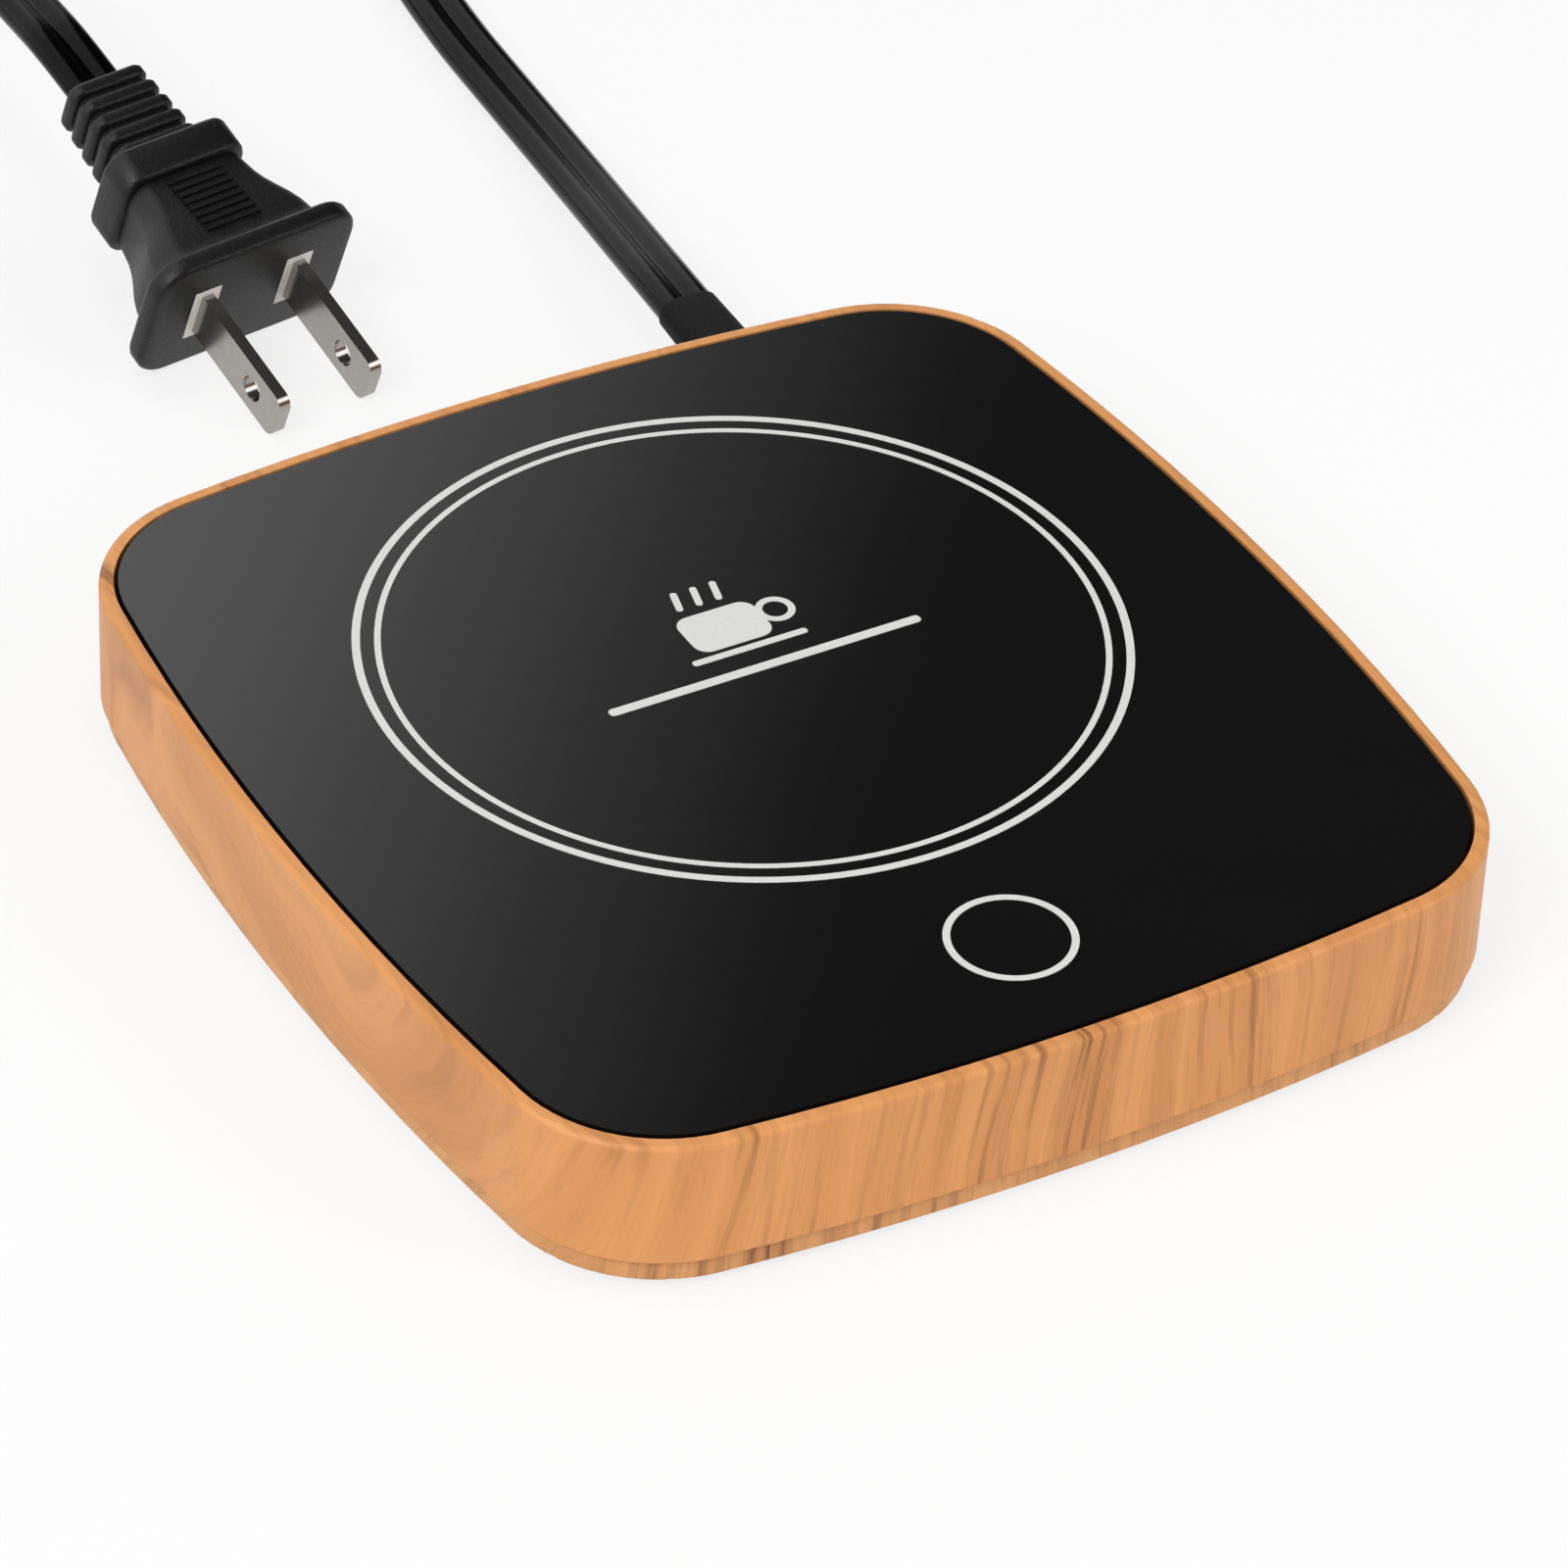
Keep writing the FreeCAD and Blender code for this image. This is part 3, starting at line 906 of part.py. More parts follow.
plug_blades = group("plug_blades", [blade(1, 1), blade(2, -1)])
surrounds = group("blade_surrounds", [
    carved(f"blade_surround_{n}",
           box(f"surround_blank_{n}", f"{i} * size.blade_apart / 2", "size.window_deep / 2",
               "-size.window_high / 2",
               "size.window_wide", "size.window_deep", "size.window_high", PLUG),
           [box(f"surround_slot_{n}", f"{i} * size.blade_apart / 2", "0", "-size.blade_wide / 2",
                "size.blade_thick", "9",
                "size.blade_wide", PLUG)]) for n, i in ((1, 1), (2, -1))])
RELIEF = f"{PLUG} * placement(vector(0; size.collar_back + size.collar_deep; 0); rotation(0; 0; 0))"
relief_core = round_loft("relief_core", [
    ("0", "size.relief_wide", "size.relief_high", "size.relief_round"),
    ("size.relief_long", "size.relief_end_wide", "size.relief_end_high", "size.relief_round")], RELIEF)
relief_cuts = []
for n in range(int(size.relief_slots)):
    back = f"size.relief_long * ({n} + 1) / (size.relief_slots + 1)"
    for side in (1, -1):
        relief_cuts.append(box(f"relief_cut_{n}_{'a' if side > 0 else 'b'}",
                               f"{side} * (size.relief_end_wide / 2 + 3 - size.relief_slot_deep * 0.3)",
                               back, "-10", "6",
                               "size.relief_slot", "20", RELIEF))
plug_relief = carved("plug_strain_relief", relief_core, relief_cuts + [tail_room])

doc.recompute()

NODES = ["top_housing", "base_tray", "rubber_feet", "housing_screws", "guide_pins", "glass_plate",
         "plate_frame", "heat_spreader",
         "heater_disc", "insulating_sheet", "press_plate", "press_plate_screws", "thermal_fuse",
         "fuse_clip",
         "temperature_sensor", "key_light_guide", "control_board", "board_screws", "film_capacitor",
         "smoothing_capacitor", "terminal_block", "power_triac", "control_chip", "board_fuse",
         "key_lamps",
         "switch_body", "switch_plunger", "return_springs", "heater_leads", "supply_wires",
         "cord_bushing",
         "cord_clamp_bar", "cord_clamp_screws", "cord_exit_run", "cord_coil", "cord_plug_run",
         "plug_body",
         "plug_blades", "blade_surrounds", "plug_strain_relief"]
for obj in doc.Objects:
    if "Invalid" in obj.State or "Error" in obj.State:
        raise SystemExit(f"{obj.Name} did not rebuild: {obj.State}")
os.makedirs("parts", exist_ok=True)
for node in NODES:
    shape = doc.getObject(node).Shape
    if shape.isNull() or not shape.isValid():
        raise SystemExit(f"{node} is not a valid shape")
    shape.exportStep(f"parts/{node}.step")
    print(node, "solids", len(shape.Solids), "volume", round(shape.Volume, 1),
          "lowest z", round(shape.BoundBox.ZMin, 3))
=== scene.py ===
import math

import bmesh
import bpy
from mathutils import Matrix, Vector


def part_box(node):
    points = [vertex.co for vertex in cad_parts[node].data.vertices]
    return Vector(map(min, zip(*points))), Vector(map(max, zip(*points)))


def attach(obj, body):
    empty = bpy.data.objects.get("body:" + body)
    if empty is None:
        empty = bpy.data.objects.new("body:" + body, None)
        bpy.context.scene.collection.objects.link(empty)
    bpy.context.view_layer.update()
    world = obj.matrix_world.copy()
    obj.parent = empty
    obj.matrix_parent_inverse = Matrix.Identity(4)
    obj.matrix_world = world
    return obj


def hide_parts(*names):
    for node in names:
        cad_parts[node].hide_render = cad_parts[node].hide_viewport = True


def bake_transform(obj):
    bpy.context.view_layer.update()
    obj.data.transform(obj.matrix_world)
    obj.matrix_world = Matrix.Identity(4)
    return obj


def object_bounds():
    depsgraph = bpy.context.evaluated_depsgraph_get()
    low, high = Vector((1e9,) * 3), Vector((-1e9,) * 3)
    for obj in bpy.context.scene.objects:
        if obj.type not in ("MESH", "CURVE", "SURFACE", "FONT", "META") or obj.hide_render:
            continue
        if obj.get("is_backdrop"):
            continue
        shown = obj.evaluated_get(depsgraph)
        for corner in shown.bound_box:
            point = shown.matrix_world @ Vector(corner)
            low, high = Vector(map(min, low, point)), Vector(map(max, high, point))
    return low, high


# Electric mug warmer: a black glass hot plate in a wood-print shell, with a flat
# black lead. Metres, +Z up, +Y to the rear, the table at z = 0.

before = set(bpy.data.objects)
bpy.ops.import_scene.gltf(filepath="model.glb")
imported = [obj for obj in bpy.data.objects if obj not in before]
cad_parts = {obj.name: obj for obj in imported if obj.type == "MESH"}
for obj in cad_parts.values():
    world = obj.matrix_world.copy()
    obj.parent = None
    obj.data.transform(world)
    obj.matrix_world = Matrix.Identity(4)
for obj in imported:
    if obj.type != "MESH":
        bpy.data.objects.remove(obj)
bpy.ops.object.select_all(action="DESELECT")
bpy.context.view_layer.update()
MM = 0.001


def linear(hex_colour):
    """An sRGB hex colour as the linear values that a shader takes."""
    parts = [int(hex_colour[i:i + 2], 16) / 255 for i in (1, 3, 5)]
    return tuple(c / 12.92 if c <= 0.04045 else ((c + 0.055) / 1.055) ** 2.4 for c in parts) + (1.0,)


# Where the photograph was taken from: the place of the lens, the way it looks,
# and its focal length on a 36 mm wide sensor.
CAMERA_PLACE = Vector((-0.34374, -0.56316, 0.51207))
LOOK_FROM, LOOK_DOWN, LEAN = math.radians(-31.44), math.radians(37.44), math.radians(2.75)
FOCAL_LENGTH = 178.8

level = math.cos(LOOK_DOWN)
behind_lens = Vector((math.sin(LOOK_FROM) * level, -math.cos(LOOK_FROM) * level, math.sin(LOOK_DOWN)))
right = Vector((0, 0, 1)).cross(behind_lens).normalized()
above = behind_lens.cross(right)
lean_right = right * math.cos(LEAN) + above * math.sin(LEAN)
lean_up = above * math.cos(LEAN) - right * math.sin(LEAN)
lens = bpy.data.cameras.new("photo_lens")
lens.lens = FOCAL_LENGTH
lens.sensor_width = 36.0
camera = bpy.data.objects.new("photo_camera", lens)
bpy.context.scene.collection.objects.link(camera)
turn = Matrix((lean_right, lean_up, behind_lens)).transposed().to_4x4()
camera.matrix_world = Matrix.Translation(CAMERA_PLACE) @ turn
bpy.context.scene.camera = camera

# A flat two-core lead, 7.1 by 3.6 mm, on a smooth line near the route of its solids: straight
# out of the sleeve, down to the table, a put-away coil behind the view, and back to the plug.
CORD_WIDE, CORD_HIGH = 7.1 * MM, 3.6 * MM
CORD_LOW = CORD_HIGH / 2 + 0.3 * MM
LAYER_STEP = 4.3 * MM
COIL_MIDDLE = Vector((22.0 * MM, 252.0 * MM, CORD_LOW))
COIL_RADIUS, TURN_STEP, HALF_TURNS = 44.0 * MM, 3.9 * MM, 4
EXIT = Vector((33.0, 42.0875, 8.0)) * MM
PLUG_FACE = Vector((-10.0, 106.2, 8.75)) * MM
PLUG_TURN = Matrix.Rotation(math.radians(8.0), 4, "Z") @ Matrix.Rotation(math.radians(20.8), 4, "X")
PLUG_PLACE = Matrix.Translation(PLUG_FACE) @ PLUG_TURN


def coil_points(per_half=8):
    """The coil's turns, half a turn at a time: in on the table, up a layer, and out again."""
    points = []
    x, side, z = COIL_MIDDLE.x + COIL_RADIUS, 1, CORD_LOW
    radii = [COIL_RADIUS - TURN_STEP * n for n in range(HALF_TURNS + 1)]
    radii += [radii[-1] + TURN_STEP * (n + 1) for n in range(HALF_TURNS)]
    for n, radius in enumerate(radii):
        middle = x - side * radius
        rise = LAYER_STEP if n == HALF_TURNS else 0.0
        for k in range(1, per_half + 1):
            angle = math.pi * (k - 0.5) / per_half
            share = min(1.0, max(0.0, (k - 1) / (per_half - 1)))
            across = middle + side * radius * math.cos(angle)
            along = COIL_MIDDLE.y + side * radius * math.sin(angle)
            points.append(Vector((across, along, z + rise * share)))
        z += rise
        x -= side * 2 * radius
        side = -side
    return points, Vector((x, COIL_MIDDLE.y, z))


turns, coil_end = coil_points()
coil_start = Vector((COIL_MIDDLE.x + COIL_RADIUS, COIL_MIDDLE.y, CORD_LOW))
out_route = [EXIT, Vector((33.2, 63.0, 8.0)) * MM, Vector((34.6, 84.0, 8.0)) * MM,
             Vector((37.3, 102.0, 5.6)) * MM, Vector((39.9, 119.0, 3.4)) * MM,
             Vector((41.9 * MM, 138.0 * MM, CORD_LOW)),
             Vector((43.1 * MM, 158.0 * MM, CORD_LOW)), Vector((47.0 * MM, 184.0 * MM, CORD_LOW)),
             Vector((coil_start.x, 214.0 * MM, CORD_LOW)), Vector((coil_start.x, 240.0 * MM, CORD_LOW))]
back_route = [Vector((coil_end.x, 240.0 * MM, coil_end.z)), Vector((coil_end.x, 225.0 * MM, coil_end.z)),
              Vector((-20.5, 207.0, 8.5)) * MM, Vector((-17.4, 188.0, 16.5)) * MM,
              Vector((-14.9, 168.0, 21.9)) * MM, Vector((-14.9, 154.0, 22.2)) * MM,
              PLUG_PLACE @ Vector((0, 38.2 * MM, 0)), PLUG_PLACE @ Vector((0, 18.2 * MM, 0))]


def smooth_line(name, points):
    """The points of a smooth line that follows a route."""
    line = bpy.data.curves.new(name, "CURVE")
    line.dimensions = "3D"
    spline = line.splines.new("NURBS")
    spline.points.add(len(points) - 1)
    for knot, place in zip(spline.points, points):
        knot.co = (*place, 1.0)
    spline.order_u = 3
    spline.use_endpoint_u = True
    spline.resolution_u = 8
    holder = bpy.data.objects.new(name, line)
    bpy.context.scene.collection.objects.link(holder)
    bpy.context.view_layer.update()
    traced = bpy.data.meshes.new_from_object(holder.evaluated_get(bpy.context.evaluated_depsgraph_get()))
    places = [v.co.copy() for v in traced.vertices]
    bpy.data.objects.remove(holder)
    bpy.data.meshes.remove(traced)
    return places


def twin_section(wide, high, groove, steps=10):
    """The outline of a two-core lead: a round lobe on each side and a shallow groove above and below."""
    lobe = high / 2
    middle = wide / 2 - lobe
    outline = []
    for side, start in ((1, -90), (-1, 90)):
        for k in range(steps + 1):
            angle = math.radians(start + 180 * k / steps)
            outline.append((side * middle + lobe * math.cos(angle), lobe * math.sin(angle)))
        top = side * lobe
        outline.append((side * middle * 0.45, top - side * groove * 0.3))
        outline.append((side * middle * 0.16, top - side * groove * 0.9))
        outline.append((-side * middle * 0.16, top - side * groove * 0.9))
        outline.append((-side * middle * 0.45, top - side * groove * 0.3))
    return outline


def flat_tube(name, line, outline):
    """A closed tube along a line, its broad way kept level."""
    mesh = bmesh.new()
    rings = []
    for n, place in enumerate(line):
        ahead, behind = line[min(n + 1, len(line) - 1)], line[max(n - 1, 0)]
        along = (ahead - behind).normalized()
        across = Vector((0, 0, 1)).cross(along).normalized()
        up = along.cross(across)
        rings.append([mesh.verts.new(place + across * x + up * z) for x, z in outline])
    for first, second in zip(rings, rings[1:]):
        for k in range(len(outline)):
            after = (k + 1) % len(outline)
            mesh.faces.new((first[k], first[after], second[after], second[k]))
    mesh.faces.new(rings[0])
    mesh.faces.new(list(reversed(rings[-1])))
    bmesh.ops.recalc_face_normals(mesh, faces=mesh.faces)
    data = bpy.data.meshes.new(name)
    mesh.to_mesh(data)
    mesh.free()
    data.polygons.foreach_set("use_smooth", [True] * len(data.polygons))
    piece = bpy.data.objects.new(name, data)
    bpy.context.scene.collection.objects.link(piece)
    return piece


lead_line = smooth_line("lead_line", out_route + turns + back_route)
lead_line = [p for n, p in enumerate(lead_line) if n == 0 or (p - lead_line[n - 1]).length > 0.05 * MM]
mains_lead = flat_tube("mains_lead", lead_line, twin_section(CORD_WIDE, CORD_HIGH, 0.75 * MM))
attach(mains_lead, "housing")
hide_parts("cord_exit_run", "cord_coil", "cord_plug_run")


def rounded_plate(name, wide, deep, corner, steps):
    """Starts a flat plate with round corners, left in edit mode with its face selected."""
    bpy.ops.object.select_all(action="DESELECT")
    bpy.ops.mesh.primitive_plane_add(size=1.0)
    plate = bpy.context.object
    plate.name = name
    plate.scale = (wide * MM, deep * MM, 1.0)
    bpy.ops.object.transform_apply(location=False, rotation=False, scale=True)
    bpy.ops.object.mode_set(mode="EDIT")
    bpy.ops.mesh.select_all(action="SELECT")
    bpy.ops.mesh.bevel(offset=corner * MM, segments=steps, affect="VERTICES")
    bpy.ops.mesh.select_all(action="SELECT")
    return plate


def leave_edit(piece, matrix):
    """Closes the edit, turns the faces outward and puts the piece's place into its mesh."""
    bpy.ops.mesh.select_all(action="SELECT")
    bpy.ops.mesh.normals_make_consistent(inside=False)
    bpy.ops.object.mode_set(mode="OBJECT")
    piece.matrix_world = matrix
    bpy.ops.object.transform_apply(location=True, rotation=True, scale=True)
    return piece


# The plug's moulding, from its face to the tip of its strain relief: how far back each
# section lies, and its width and height, in millimetres. A round-edged flange, a bell
# that narrows to a waist, a round-edged collar, and five rings that taper to the lead.
PLUG_SECTIONS = [
    (0.05, 26.3, 17.3), (0.2, 27.0, 18.0), (0.6, 27.5, 18.5), (2.2, 27.5, 18.5), (2.6, 27.1, 18.1),
    (2.85, 26.2, 17.2), (3.0, 23.4, 15.2), (3.6, 22.3, 14.6), (4.6, 21.9, 14.3), (6.0, 21.4, 14.0),
    (7.5, 20.3, 13.6), (9.0, 18.7, 13.2), (10.5, 17.2, 12.8), (12.0, 16.2, 12.4), (13.6, 15.7, 12.0),
    (15.1, 15.3, 11.6), (15.2, 15.9, 12.4), (15.4, 16.5, 13.2), (15.8, 16.8, 13.6), (19.5, 16.8, 13.6),
    (19.9, 16.5, 13.3), (20.15, 15.8, 12.6)]
RELIEF_START, RELIEF_LONG, RELIEF_RINGS, RING_SHARE = 20.2, 13.0, 5, 0.7
# how far along its pitch each edge of a ring lies, and how much it is drawn in there
RING_EDGES = ((0.0, 1.2), (0.06, 0.4), (0.18, 0.0),
              (RING_SHARE - 0.14, 0.0), (RING_SHARE - 0.02, 0.4), (RING_SHARE + 0.05, 1.2))
for ring in range(RELIEF_RINGS):
    pitch = RELIEF_LONG / RELIEF_RINGS
    start = RELIEF_START + ring * pitch
    wide, high = 11.6 - 0.32 * ring, 9.0 - 0.42 * ring
    for share, less in RING_EDGES:
        PLUG_SECTIONS.append((start + share * pitch, wide - less, high - less))

# The sleeve round the lead at the rear wall: a neck in the slot, a thin flange and a slow
# taper, which leans with the lead by this much across for each step back.
SLEEVE_SECTIONS = [
    (-3.0, 10.6, 7.0), (0.05, 10.6, 7.0), (0.1, 12.0, 7.8), (0.3, 12.6, 8.2), (0.8, 12.6, 8.2),
    (1.1, 12.0, 7.8), (1.2, 8.6, 5.1), (3.0, 8.2, 4.7), (19.7, 7.5, 4.0), (20.0, 7.2, 3.7)]
SLEEVE_LEAN = 0.063
SMOOTH_BELOW = math.radians(38)
SLEEVE_PLACE = Matrix.Translation(Vector((33.0, 62.0875, 8.0)) * MM)


def drawn_back(name, sections, corner, lean=0.0):
    """A body drawn back from a rounded plate through its sections, left in edit mode."""
    first, wide, high = sections[0]
    back = first
    body = rounded_plate(name, wide, high, corner, 8)
    bpy.ops.transform.translate(value=(0, 0, back * MM))
    for further, wider, higher in sections[1:]:
        step = (further - back) * MM
        bpy.ops.mesh.extrude_region_move(TRANSFORM_OT_translate={"value": (lean * step, 0, step)})
        middle = (lean * (further - first) * MM, 0, further * MM)
        bpy.ops.transform.resize(value=(wider / wide, higher / high, 1), center_override=middle)
        back, wide, high = further, wider, higher
    return body


def rear_sleeve():
    """The slim sleeve that holds the lead where it leaves the rear wall."""
    body = drawn_back("lead_sleeve", SLEEVE_SECTIONS, 3.0, SLEEVE_LEAN)
    leave_edit(body, SLEEVE_PLACE @ Matrix.Rotation(math.radians(-90), 4, "X"))
    bpy.ops.object.shade_smooth_by_angle(angle=SMOOTH_BELOW)
    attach(body, "housing")
    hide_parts("cord_bushing")
    return body


GRIP_RIBS, RIB_WIDE, RIB_THICK = 8, 7.4 * MM, 0.55 * MM


def plug_moulding():
    """The plug's black body, with its grip ribs above and below."""
    body = drawn_back("plug_moulding", PLUG_SECTIONS, 3.9)
    for rib in range(GRIP_RIBS):
        place = 5.9 + rib * 1.15
        half = 7.35 - (place - 6.0) * 0.135
        size = (RIB_WIDE, 2 * half * MM, RIB_THICK)
        bpy.ops.mesh.primitive_cube_add(size=1.0, location=(0, 0, place * MM), scale=size)
    return leave_edit(body, PLUG_PLACE @ Matrix.Rotation(math.radians(-90), 4, "X"))


plug_body = plug_moulding()
bpy.ops.object.shade_smooth_by_angle(angle=SMOOTH_BELOW)
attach(plug_body, "housing")
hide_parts("plug_body", "plug_strain_relief")
sleeve = rear_sleeve()


def add(tree, kind, sockets=None, **settings):
    """Adds a shader node; a socket takes a number or colour, or another node's output as a link."""
    made = tree.nodes.new("ShaderNode" + kind)
    for name, value in settings.items():
        setattr(made, name, value)
    for name, value in (sockets or {}).items():
        socket = made.inputs[name]
        if isinstance(value, bpy.types.NodeSocket):
            tree.links.new(value, socket)
        else:
            socket.default_value = value
    return made


def new_material(name, **shader):
    """A material whose shader takes these constants; returns it, its tree and its shader."""
    material = bpy.data.materials.new(name)
    material.use_nodes = True
    tree = material.node_tree
    skin = tree.nodes["Principled BSDF"]
    for key, value in shader.items():
        skin.inputs[key.replace("_", " ")].default_value = value
    return material, tree, skin


def set_ramp(ramp, stops):
    """Gives a colour ramp these stops, each a place and a colour."""
    bar = ramp.color_ramp
    while len(bar.elements) < len(stops):
        bar.elements.new(0.5)
    for element, (place, colour) in zip(bar.elements, stops):
        element.position = place
        element.color = colour


def wood_print(name, light, mid, dark, vein, shift, finer=1.0):
    """Zebra-grained wood film on moulded ABS: growth layers stand square to X, so the front shows upright
    streaks and the sides show long flowing figure."""
    material, tree, skin = new_material(name, Roughness=0.42, Specular_IOR_Level=0.35)
    place = add(tree, "TexCoord").outputs["Object"]
    moved = add(tree, "Mapping", {"Vector": place, "Location": shift}).outputs["Vector"]
    # slow drift that bends the layers, over about 60 to 90 mm
    slow = add(tree, "Mapping", {"Vector": moved, "Scale": (12.0, 17.0, 11.0)}).outputs["Vector"]
    drift = add(tree, "TexNoise", {"Vector": slow, "Scale": 1.0, "Detail": 2.0, "Roughness": 0.45})
    drift = drift.outputs["Fac"]
    wander = add(tree, "Math", {0: drift, 1: 0.5}, operation="SUBTRACT").outputs[0]
    reach = add(tree, "Math", {0: wander, 1: 0.03}, operation="MULTIPLY").outputs[0]
    split = add(tree, "SeparateXYZ", {"Vector": moved})
    bent = add(tree, "Math", {0: split.outputs["X"], 1: reach}, operation="ADD").outputs[0]
    # the layers lean a little, so that the long sides cut them in drawn-out lines
    layer = add(tree, "Math", {0: split.outputs["Z"], 1: -0.12, 2: bent}, operation="MULTIPLY_ADD").outputs[0]
    # broad bands about 9 mm apart, streaks about 1.2 mm, and fibre under 0.4 mm
    along_y = add(tree, "Math", {0: split.outputs["Y"], 1: 0.035}, operation="MULTIPLY").outputs[0]
    along_z = add(tree, "Math", {0: split.outputs["Z"], 1: 0.05}, operation="MULTIPLY").outputs[0]
    grain = add(tree, "CombineXYZ", {"X": layer, "Y": along_y, "Z": along_z}).outputs["Vector"]
    sizes = []
    for spacing, detail in ((110.0, 2.0), (840.0 * finer, 3.0), (2600.0 * finer, 2.0)):
        noise = add(tree, "TexNoise", {"Vector": grain, "Scale": spacing, "Detail": detail, "Roughness": 0.55})
        sizes.append(noise.outputs["Fac"])
    bands, streaks, fibre = sizes
    warm = add(tree, "ValToRGB", {"Fac": bands})
    set_ramp(warm, [(0.32, mid), (0.5, light), (0.66, mid)])
    # dark streaks gather in the dark bands, and a weak trace of them runs everywhere
    where = add(tree, "MapRange", {"Value": bands, "From Min": 0.47, "From Max": 0.64}).outputs["Result"]
    lines = add(tree, "MapRange", {"Value": streaks, "From Min": 0.5, "From Max": 0.7}).outputs["Result"]
    strong = add(tree, "Math", {0: where, 1: lines}, operation="MULTIPLY").outputs[0]
    weak = add(tree, "Math", {0: lines, 1: 0.3}, operation="MULTIPLY").outputs[0]
    both = add(tree, "Math", {0: strong, 1: weak}, operation="MAXIMUM").outputs[0]
    streaked = add(tree, "MixRGB", {"Fac": both, "Color1": warm.outputs["Color"], "Color2": dark})
    thin = add(tree, "MapRange", {"Value": fibre, "From Min": 0.56, "From Max": 0.78, "To Max": 0.28})
    mixed = {"Fac": thin.outputs["Result"], "Color1": streaked.outputs["Color"], "Color2": vein}
    fibred = add(tree, "MixRGB", mixed).outputs["Color"]
    tree.links.new(fibred, skin.inputs["Base Color"])
    rough = add(tree, "MapRange", {"Value": fibre, "To Min": 0.38, "To Max": 0.5}).outputs["Result"]
    tree.links.new(rough, skin.inputs["Roughness"])
    relief = add(tree, "Bump", {"Height": fibre, "Strength": 0.05, "Distance": 0.0002})
    tree.links.new(relief.outputs["Normal"], skin.inputs["Normal"])
    return material


def fine_grain(tree, skin, scale, strength, depth, low, high):
    """A fine moulded or ground texture: scale is in grains a metre, depth in metres."""
    place = add(tree, "TexCoord").outputs["Object"]
    noise = add(tree, "TexNoise", {"Vector": place, "Scale": scale, "Detail": 3.0, "Roughness": 0.6})
    specks = noise.outputs["Fac"]
    relief = add(tree, "Bump", {"Height": specks, "Strength": strength, "Distance": depth})
    tree.links.new(relief.outputs["Normal"], skin.inputs["Normal"])
    rough = add(tree, "MapRange", {"Value": specks, "To Min": low, "To Max": high}).outputs["Result"]
    tree.links.new(rough, skin.inputs["Roughness"])
    return specks


def plain(name, colour, low, high, scale=900.0, strength=0.15, depth=0.00005, **shader):
    """An even colour with a fine grain and a slight drift of tone."""
    material, tree, skin = new_material(name, **shader)
    specks = fine_grain(tree, skin, scale, strength, depth, low, high)
    base = linear(colour)
    darker = tuple(c * 0.86 for c in base[:3]) + (1.0,)
    tone = add(tree, "MixRGB", {"Fac": specks, "Color1": base, "Color2": darker}).outputs["Color"]
    tree.links.new(tone, skin.inputs["Base Color"])
    return material


SHELL_WOOD = wood_print("wood_print_shell", linear("#D9975A"), linear("#C7864B"), linear("#8A582C"),
                        linear("#A87040"), (0.013, 0.004, 0.002))
TRAY_WOOD = wood_print("wood_print_tray", linear("#D59B62"), linear("#C08550"), linear("#7A4A26"),
                       linear("#986538"), (0.047, 0.021, 0.011), 1.25)


def hot_plate_glass():
    """Toughened glass with black enamel fired on its back: deep black with a clean gloss."""
    material, tree, skin = new_material("black_enamelled_glass", Roughness=0.06, IOR=1.52,
                                        Specular_IOR_Level=0.5)
    place = add(tree, "TexCoord").outputs["Object"]
    mottle = add(tree, "TexNoise", {"Vector": place, "Scale": 35.0, "Detail": 2.0}).outputs["Fac"]
    tone = add(tree, "MixRGB", {"Fac": mottle, "Color1": linear("#080808"), "Color2": linear("#0C0C0C")})
    tree.links.new(tone.outputs["Color"], skin.inputs["Base Color"])
    smear = add(tree, "MapRange", {"Value": mottle, "To Min": 0.05, "To Max": 0.09}).outputs["Result"]
    tree.links.new(smear, skin.inputs["Roughness"])
    return material


GLASS = hot_plate_glass()
# ceramic ink fired into the glass
INK = plain("fired_white_ink", "#D9D9D7", 0.45, 0.55, 2500.0)
# plasticised PVC, extruded: black and glossy, with a faintly uneven skin
LEAD_PVC = plain("extruded_pvc", "#020202", 0.12, 0.17, 300.0, 0.04, Specular_IOR_Level=0.1)
# the same PVC moulded in a spark-eroded tool: a fine grain that scatters the shine
PLUG_PVC = plain("moulded_pvc", "#080809", 0.36, 0.52, 2600.0, 0.7, 0.00008, Specular_IOR_Level=0.3)
# the sleeve's PVC: the same black with a matt skin
SLEEVE_PVC = plain("moulded_sleeve_pvc", "#020202", 0.55, 0.7, 2600.0, 0.4, 0.00006, Specular_IOR_Level=0.08)
# the plug's pale inner moulding, and its stamped and plated blades
PLUG_INSERT = plain("inner_moulding_pbt", "#EFEFEC", 0.4, 0.5, 1500.0)
BLADE_NICKEL = plain("nickel_plated_brass", "#A8A5A0", 0.16, 0.26, 700.0, 0.06, Metallic=1.0)
# moulded feet, plated fasteners, wound springs and rolled sheet
FOOT_SILICONE = plain("moulded_silicone", "#161616", 0.6, 0.75, 1400.0, 0.2)
ZINC_STEEL = plain("zinc_plated_steel", "#B9BBBC", 0.28, 0.42, 1200.0, 0.1, Metallic=1.0)
SPRING_STEEL = plain("drawn_spring_steel", "#9FA2A4", 0.25, 0.38, 1600.0, 0.1, Metallic=1.0)
MILL_ALUMINIUM = plain("mill_finish_aluminium", "#C8CACC", 0.3, 0.45, 500.0, 0.12, Metallic=1.0)
# the plate's frame and its heater stack
BLACK_NYLON = plain("glass_filled_nylon", "#1A1A1B", 0.5, 0.68, 1100.0, 0.3)
MICA = plain("mica_laminate", "#B98A55", 0.4, 0.6, 420.0, 0.3)
FIBRE_PAPER = plain("ceramic_fibre_paper", "#DEDBD0", 0.8, 0.95, 900.0, 0.6)
